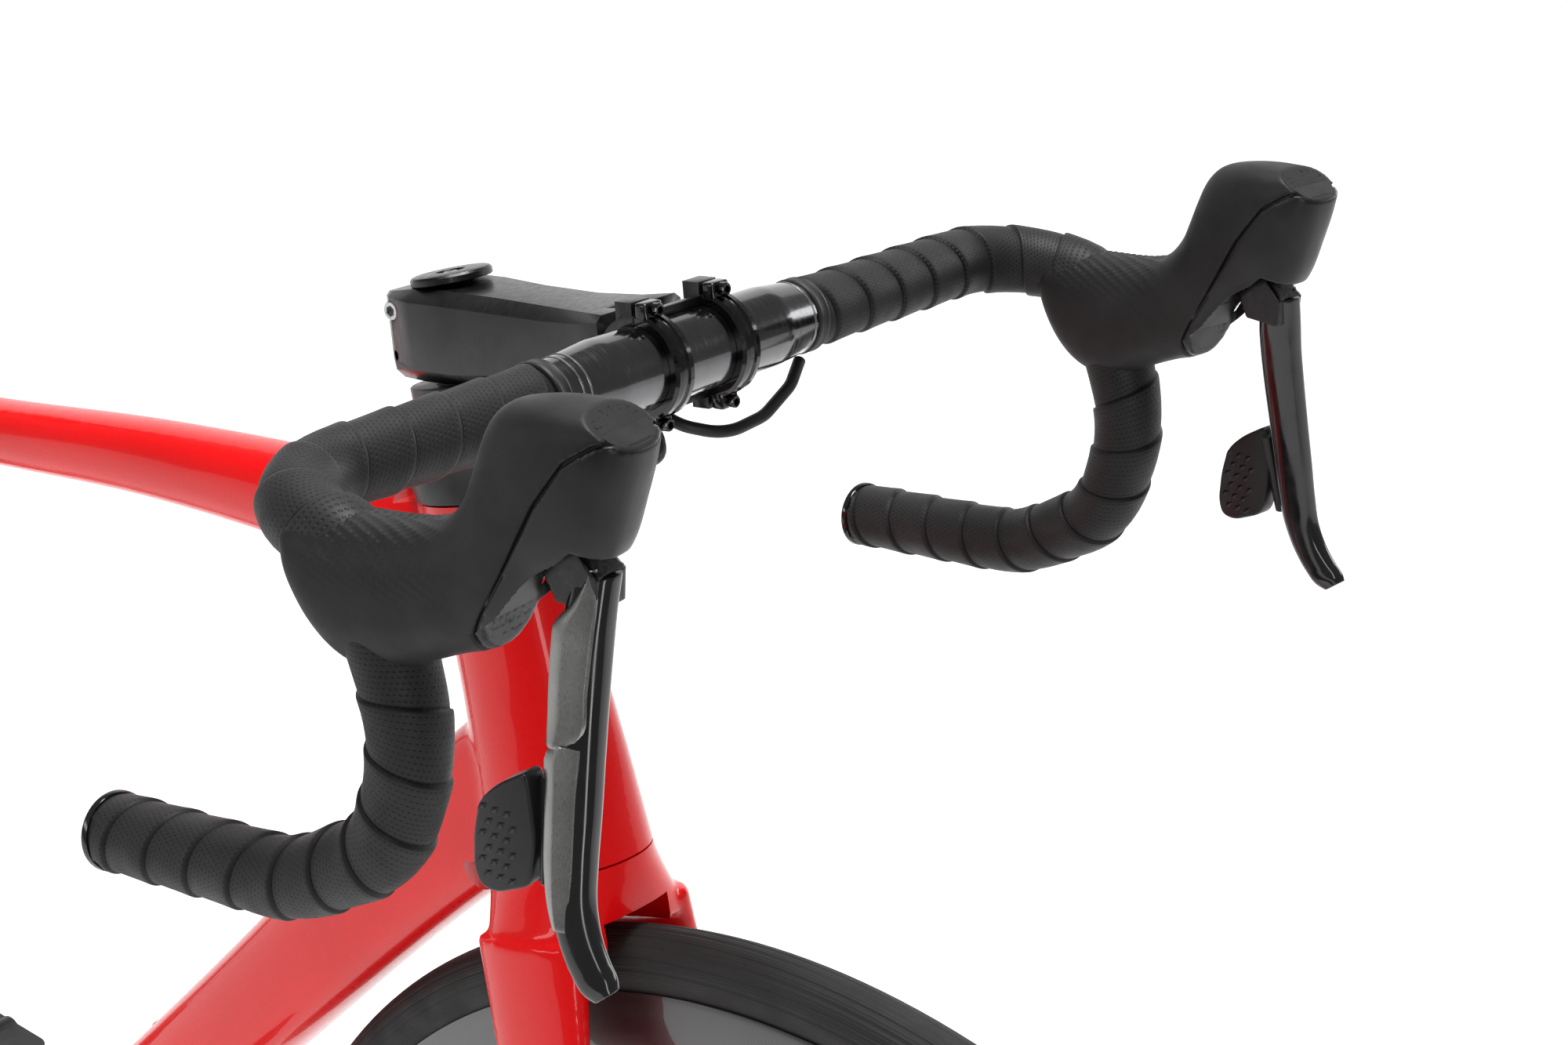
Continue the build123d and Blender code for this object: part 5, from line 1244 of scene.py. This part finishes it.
def bolt_shape(foot, out, radius, height):
    """A cap head with a six-sided socket."""
    other = SIDEWAYS if abs(out[1]) < 0.9 else vec(1, 0, 0)
    across = unit(np.cross(out, other))
    high = np.cross(out, across)
    rings = []
    for a, r in ((0, radius), (height - 0.4, radius), (height, radius - 0.4), (height, radius * 0.62)):
        rings.append(ring_of(foot + out * a, across, high, r, r, 2, 48))
    for a, r in ((height - 0.05, radius * 0.6), (height - 2.2, radius * 0.58)):
        hexagon = []
        for i in range(48):
            turn = 2 * math.pi * i / 48
            reach = r * math.cos(math.pi / 6) / math.cos((turn % (math.pi / 3)) - math.pi / 6)
            hexagon.append(foot + out * a + across * math.cos(turn) * reach + high * math.sin(turn) * reach)
        rings.append(hexagon)
    return skin(rings)


RIDGED_BAND = (
    (16.0, -4.9), (18.7, -4.9), (19.9, -3.9), (20.05, -1.8), (19.3, -1.2),
    (19.3, 1.2), (20.05, 1.8), (19.9, 3.9), (18.7, 4.9), (16.0, 4.9),
)


def build_clamp_bands():
    """Two forged bands, with ears and a ridge."""
    for name, side in SIDES:
        middle = CLAMP + SIDEWAYS * (side * BAND_Y)
        band = mesh_object(f"{name}_clamp_band", turned(middle, RIDGED_BAND, 144))
        cut_away(band, box_shape(middle - STEM_AHEAD * 30, STEM_AHEAD, STEM_UP, (60.6, 40, 80)))
        for level in (-1, 1):
            place = clamp_ear(side, level, 3.4)
            ear = mesh_object("ear", box_shape(place, STEM_AHEAD, STEM_UP, (5.8, 9.6, 7.3)))
            bevelled(ear, 1.2, 3, 40)
            combine(band, ear, "UNION")
        cut_away(band, drum(CLAMP, BAR_CLAMP + 0.08, -60, 60, 96))
        piece(band, "steering", BAND, angle=30)
    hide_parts("stem_faceplates")


CAP_RINGS = (
    (0.15, 16.0), (0.5, 16.4), (2.6, 16.4), (3.5, 15.6), (3.9, 14.2), (3.9, 6.2), (3.0, 5.6), (2.2, 5.4),
    (2.2, 3.2),
)


def build_hardware():
    """The steerer's cap and the clamp bolts."""
    rings = [head_ring(head_point(STEM_TOP + rise), r, r) for rise, r in CAP_RINGS]
    cap = mesh_object("steerer_top_cap", skin(rings))
    piece(cap, "steering", ALLOY, ["stem_hardware"], 30)
    bolt = mesh_object("top_cap_bolt", bolt_shape(head_point(STEM_TOP + 2.2), UP, 3.0, 1.4))
    piece(bolt, "steering", STEEL, angle=30)
    for name, side in SIDES:
        for level, which in ((-1, "low"), (1, "high")):
            head = bolt_shape(clamp_ear(side, level, 6.3, 21.5), STEM_AHEAD, 2.5, 2.9)
            bolt = mesh_object(f"{name}_{which}_clamp_bolt", head)
            piece(bolt, "steering", BAND, angle=30)


HEADSET_LOW = HEAD_LENGTH + 1.2
# The cover's rows: rise above its foot, width, depth and shift ahead, and the squareness of its section
COVER_ROWS = (
    (0, 53.6, 67.6, -2), (5, 53, 69, -3), (14, 49.8, 71.6, -4), (22, 45.6, 68, -4), (25.9, 43.2, 65.4, -4),
)
COVER_POWER = 2.1


def build_headset():
    """The drawn-out cover over the head tube, and two spacers with a fine gap."""
    rows = [(HEADSET_LOW + rise, *sizes, COVER_POWER) for rise, *sizes in COVER_ROWS]
    cover = mesh_object("headset_shroud", head_loft(rows, 6, 0.0))
    cut_away(cover, steerer_hole(HEADSET_LOW - 5, HEADSET_LOW + 40))
    bevelled(cover, 0.6, 2, 40)
    piece(cover, "steering", PLASTIC, ["headset_cover"], 35)
    start = HEADSET_LOW + 26.2
    height = (STEM_LOW - start - 0.1) / 2
    for i in range(2):
        base = start + i * height
        rings = []
        for rise, off in ((0.1, 0.7), (0.6, 0.1), (height - 0.7, 0.1), (height - 0.2, 0.7)):
            rings.append(head_ring(head_point(base + rise, -2), 20.4 - off, 26.8 - off, COVER_POWER))
        spacer = mesh_object(f"headset_spacer_{i + 1}", skin(rings))
        cut_away(spacer, steerer_hole(base - 5, base + 40))
        piece(spacer, "steering", PLASTIC, angle=35)


HOSE_ROUTE = ((7, 57, -24), (10, 38, -31), (8, 18, -34), (-4, 7, -31), (-16, 4, -27))


def build_hoses():
    """The two brake hoses, held between the tape and the stem's underside."""
    for name, side in SIDES:
        route = ((2, TAPE_START[side] - 3, -17.8),) + HOSE_ROUTE
        path = rounded_path([bar_point(x, side * y, z) for x, y, z in route], (22, 22, 20, 16), 1.2)
        hose = mesh_object(f"{name}_brake_hose_tube", tube_along(path, lambda at: 2.45, 20, vec(0, 0, 1)))
        piece(hose, "steering", RUBBER, angle=50)
    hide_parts("brake_hoses")


# ---------------------------------------------------------------- saddle
SADDLE_X = -299.011
SADDLE_TOP = 980.0
SADDLE_ROWS = (
    (133, 15, 12, -8), (128, 24, 17, -5.5), (112, 36.5, 19.5, -3.4), (80, 41, 20, -1.2), (40, 45, 20.4, 0),
    (-10, 64.5, 21, 0), (-40, 94, 21.4, 0.6),
    (-66, 125, 21.6, 1), (-100, 141.5, 19.6, 1), (-122, 124, 16, 0.6), (-131, 102, 12.5, 0),
    (-133.4, 84, 9, -0.8),
)


CROWNING = 0.22


def build_saddle():
    """The padded cover: crowned, with a relief channel, a rolled edge and stitched seams."""
    rows = flow([(x, width, thick, lift) for x, width, thick, lift in SADDLE_ROWS], 6)
    rings = []
    sides = 72
    for x, width, thick, lift in rows:
        ring = []
        channel = math.exp(-((x + 28) / 74) ** 4)
        for i in range(sides):
            turn = 2 * math.pi * i / sides
            c, s = math.cos(turn), math.sin(turn)
            y = math.copysign(abs(c) ** 0.72, c) * width / 2
            z = math.copysign(abs(s) ** 0.62, s) * thick / 2
            share = abs(y) / (width / 2)
            if s > 0:
                z -= thick * CROWNING * share**2.6
                z -= 3.6 * channel * math.exp(-((y / 7.5) ** 2))
            ring.append(vec(SADDLE_X + x, y, SADDLE_TOP + lift - 1.3 - thick / 2 + z))
        rings.append(ring)
    cover = mesh_object("saddle_padding", skin(rings))
    swell(cover)
    subdivided(cover)
    piece(cover, "saddle_post", LEATHER, ["saddle_cover"], 60)
    for name, side in SIDES:
        line = []
        for x, width, thick, lift in rows[4:-4]:
            sunk = thick * (CROWNING * 0.72**2.6 + 0.02)
            line.append(vec(SADDLE_X + x, side * width * 0.36, SADDLE_TOP + lift - 1.3 - sunk))
        stitch_line(f"saddle_seam_{name}", np.array(line), cover)


SWELL_FRAMES = 14
SWELL_LIMIT = 0.9 * MM


def swell(obj):
    """Blows the cover up a little against its own cloth, as foam under skin does."""
    mod = obj.modifiers.new("remesh", "REMESH")
    mod.mode = "VOXEL"
    mod.voxel_size = 3.4 * MM
    apply_all(obj)
    rest = [v.co.copy() for v in obj.data.vertices]
    cloth = obj.modifiers.new("cloth", "CLOTH")
    settings = cloth.settings
    settings.quality = 6
    settings.use_pressure = True
    settings.uniform_pressure_force = 3.0
    settings.effector_weights.gravity = 0
    scene = bpy.context.scene
    scene.frame_start, scene.frame_end = 1, SWELL_FRAMES
    for number in range(1, SWELL_FRAMES + 1):
        scene.frame_set(number)
    apply_all(obj)
    scene.frame_set(1)
    for v, home in zip(obj.data.vertices, rest):
        moved = v.co - home
        if moved.length > SWELL_LIMIT:
            moved *= SWELL_LIMIT / moved.length
        v.co = home + moved
    obj.data.update()


def stitch_line(name, line, cover):
    """A row of thread stitches lying on the cover."""
    shapes = []
    at = lengths_along(line)
    for s in np.arange(3, at[-1] - 3, 3.4):
        ends = []
        for t in (s - 1.1, s + 1.1):
            _, spot, normal, _ = cover.closest_point_on_mesh(Vector(row_at(t, at, line)) * MM)
            ends.append(np.array(spot) / MM + np.array(normal) * 0.12)
        shapes.append(rod_shape(ends[0], ends[1], 0.32, sides=8, chamfer=0.25))
    obj = mesh_object(name, joined(*shapes))
    piece(obj, "saddle_post", RUBBER, angle=50)


# ---------------------------------------------------------------- CAD nodes that keep their own shape
NODE_FINISH = (
    (ALLOY, (
        "seat_clamp", "front_caliper", "rear_caliper", "left_crank", "right_crank", "saddle_clamp",
        "front_hub", "rear_hub", "rd_link", "rd_knuckle",
    )),
    (PLASTIC, ("rd_body", "fd_body", "left_pedal", "right_pedal", "rd_guide_pulley", "rd_tension_pulley")),
    (CARBON, ("seatpost", "saddle_shell")),
    (STEEL, (
        "headset_bearings", "bb_bearings", "chain", "cassette", "front_rotor", "rear_rotor", "saddle_rails",
        "fd_cage", "rd_cage", "chainrings", "front_axle", "rear_axle",
    )),
    (BRASS, ("front_pad_left", "front_pad_right", "rear_pad_left", "rear_pad_right")),
    (BAND, ("front_spokes", "rear_spokes")),
)


def dress_nodes():
    """Gives each kept CAD node its finish."""
    for finish, names in NODE_FINISH:
        for name in names:
            obj = nodes[name]
            obj.data.materials.clear()
            obj.data.materials.append(finish)


# ---------------------------------------------------------------- stage, light and camera
AZIMUTH = 0.6763210500863034
ELEVATION = 0.3828583116535507
ROLL = 0.043280536569925955
CAMERA_FROM_CLAMP = vec(651.32165, -746.2316, 333.46271)


def build_stage():
    """A pale sweep of floor, rising far behind into the background."""
    near, bend_at, bend, height, width = -1.9, 5.5, 2.5, 7.0, 9.0
    profile = [(near, 0.0), (bend_at, 0.0)]
    for i in range(13):
        turn = math.radians(90 * i / 12)
        profile.append((bend_at + bend * math.sin(turn), bend - bend * math.cos(turn)))
    profile.append((bend_at + bend, height))
    verts, faces = [], []
    away = vec(-math.sin(AZIMUTH), math.cos(AZIMUTH), 0)
    across = vec(away[1], -away[0], 0)
    for far, rise in profile:
        for s in (-1, 1):
            verts.append(away * far + across * s * width + vec(0, 0, rise))
    for i in range(len(profile) - 1):
        faces.append((2 * i, 2 * i + 1, 2 * i + 3, 2 * i + 2))
    floor = mesh_object("studio_floor", (verts, faces), 1.0)
    finish = Nodes("pale_floor", (0.55, 0.55, 0.55), 0.7)
    finish.vary_rough(finish.noise(3.0, 3.0), 0.62, 0.78)
    finish.set("Emission Color", (1, 1, 1, 1))
    finish.set("Emission Strength", 0.78)
    floor.data.materials.append(finish.material)
    shade(floor, 60)


def build_camera():
    """The photograph's viewpoint, fitted to the bar and the head of the frame."""
    flat = math.cos(ELEVATION)
    sight = vec(-math.sin(AZIMUTH) * flat, math.cos(AZIMUTH) * flat, -math.sin(ELEVATION))
    level = vec(math.cos(AZIMUTH), math.sin(AZIMUTH), 0)
    high = np.cross(level, sight)
    right = level * math.cos(ROLL) + high * math.sin(ROLL)
    top = high * math.cos(ROLL) - level * math.sin(ROLL)
    data = bpy.data.cameras.new("camera")
    data.lens = 64.82
    data.sensor_width = 36.0
    data.clip_start = 0.05
    camera = bpy.data.objects.new("camera", data)
    bpy.context.scene.collection.objects.link(camera)
    place = (CLAMP + CAMERA_FROM_CLAMP) * MM
    camera.matrix_world = Matrix([
        (right[0], top[0], -sight[0], place[0]),
        (right[1], top[1], -sight[1], place[1]),
        (right[2], top[2], -sight[2], place[2]),
        (0, 0, 0, 1),
    ])
    bpy.context.scene.camera = camera


def area_light(name, place, target, size, power, size_y=None):
    """A soft box or strip of a size in metres and a power in watts, facing its target."""
    data = bpy.data.lights.new(name, "AREA")
    data.shape = "RECTANGLE"
    data.size = size
    data.size_y = size_y or size
    data.energy = power
    lamp = bpy.data.objects.new(name, data)
    lamp.location = place
    lamp.rotation_euler = (Vector(target) - Vector(place)).to_track_quat("-Z", "Y").to_euler()
    bpy.context.scene.collection.objects.link(lamp)


ROOM_LIGHT = 0.24
BACKDROP_LIGHT = 1.0


def build_lights():
    """A dim room with a white backdrop, an overhead box and three strips."""
    world = bpy.data.worlds.new("studio")
    bpy.context.scene.world = world
    world.use_nodes = True
    tree = world.node_tree
    seen = tree.nodes.new("ShaderNodeLightPath")
    strength = tree.nodes.new("ShaderNodeMapRange")
    strength.inputs["To Min"].default_value = ROOM_LIGHT
    strength.inputs["To Max"].default_value = BACKDROP_LIGHT
    tree.links.new(seen.outputs["Is Camera Ray"], strength.inputs["Value"])
    background = tree.nodes["Background"]
    background.inputs["Color"].default_value = (1.0, 1.0, 1.0, 1)
    tree.links.new(strength.outputs["Result"], background.inputs["Strength"])
    bpy.context.scene.view_settings.view_transform = "Standard"
    middle = (0.3, 0, 0.75)
    area_light("overhead", (0.2, 0.1, 3.2), middle, 1.3, 92)
    area_light("front_strip", (2.4, -1.9, 1.5), middle, 0.4, 20, 2.4)
    area_light("side_strip", (-0.9, -2.8, 1.7), middle, 2.2, 20, 0.5)
    area_light("far_strip", (1.0, 3.0, 1.6), middle, 2.4, 34, 0.9)


build_camera()
build_lights()
build_stage()
build_frame()
build_fork()
build_wheel("front", FRONT_AXLE, "front_wheel")
build_wheel("rear", REAR_AXLE, "rear_wheel")
build_bar()
build_trim()
for set_name, set_side in SIDES:
    build_tape(set_name, set_side)
    build_hood(set_name, set_side)
    build_lever(set_name, set_side)
    build_paddle(set_name, set_side)
build_stem()
build_clamp_bands()
build_hardware()
build_headset()
build_hoses()
build_saddle()
dress_nodes()
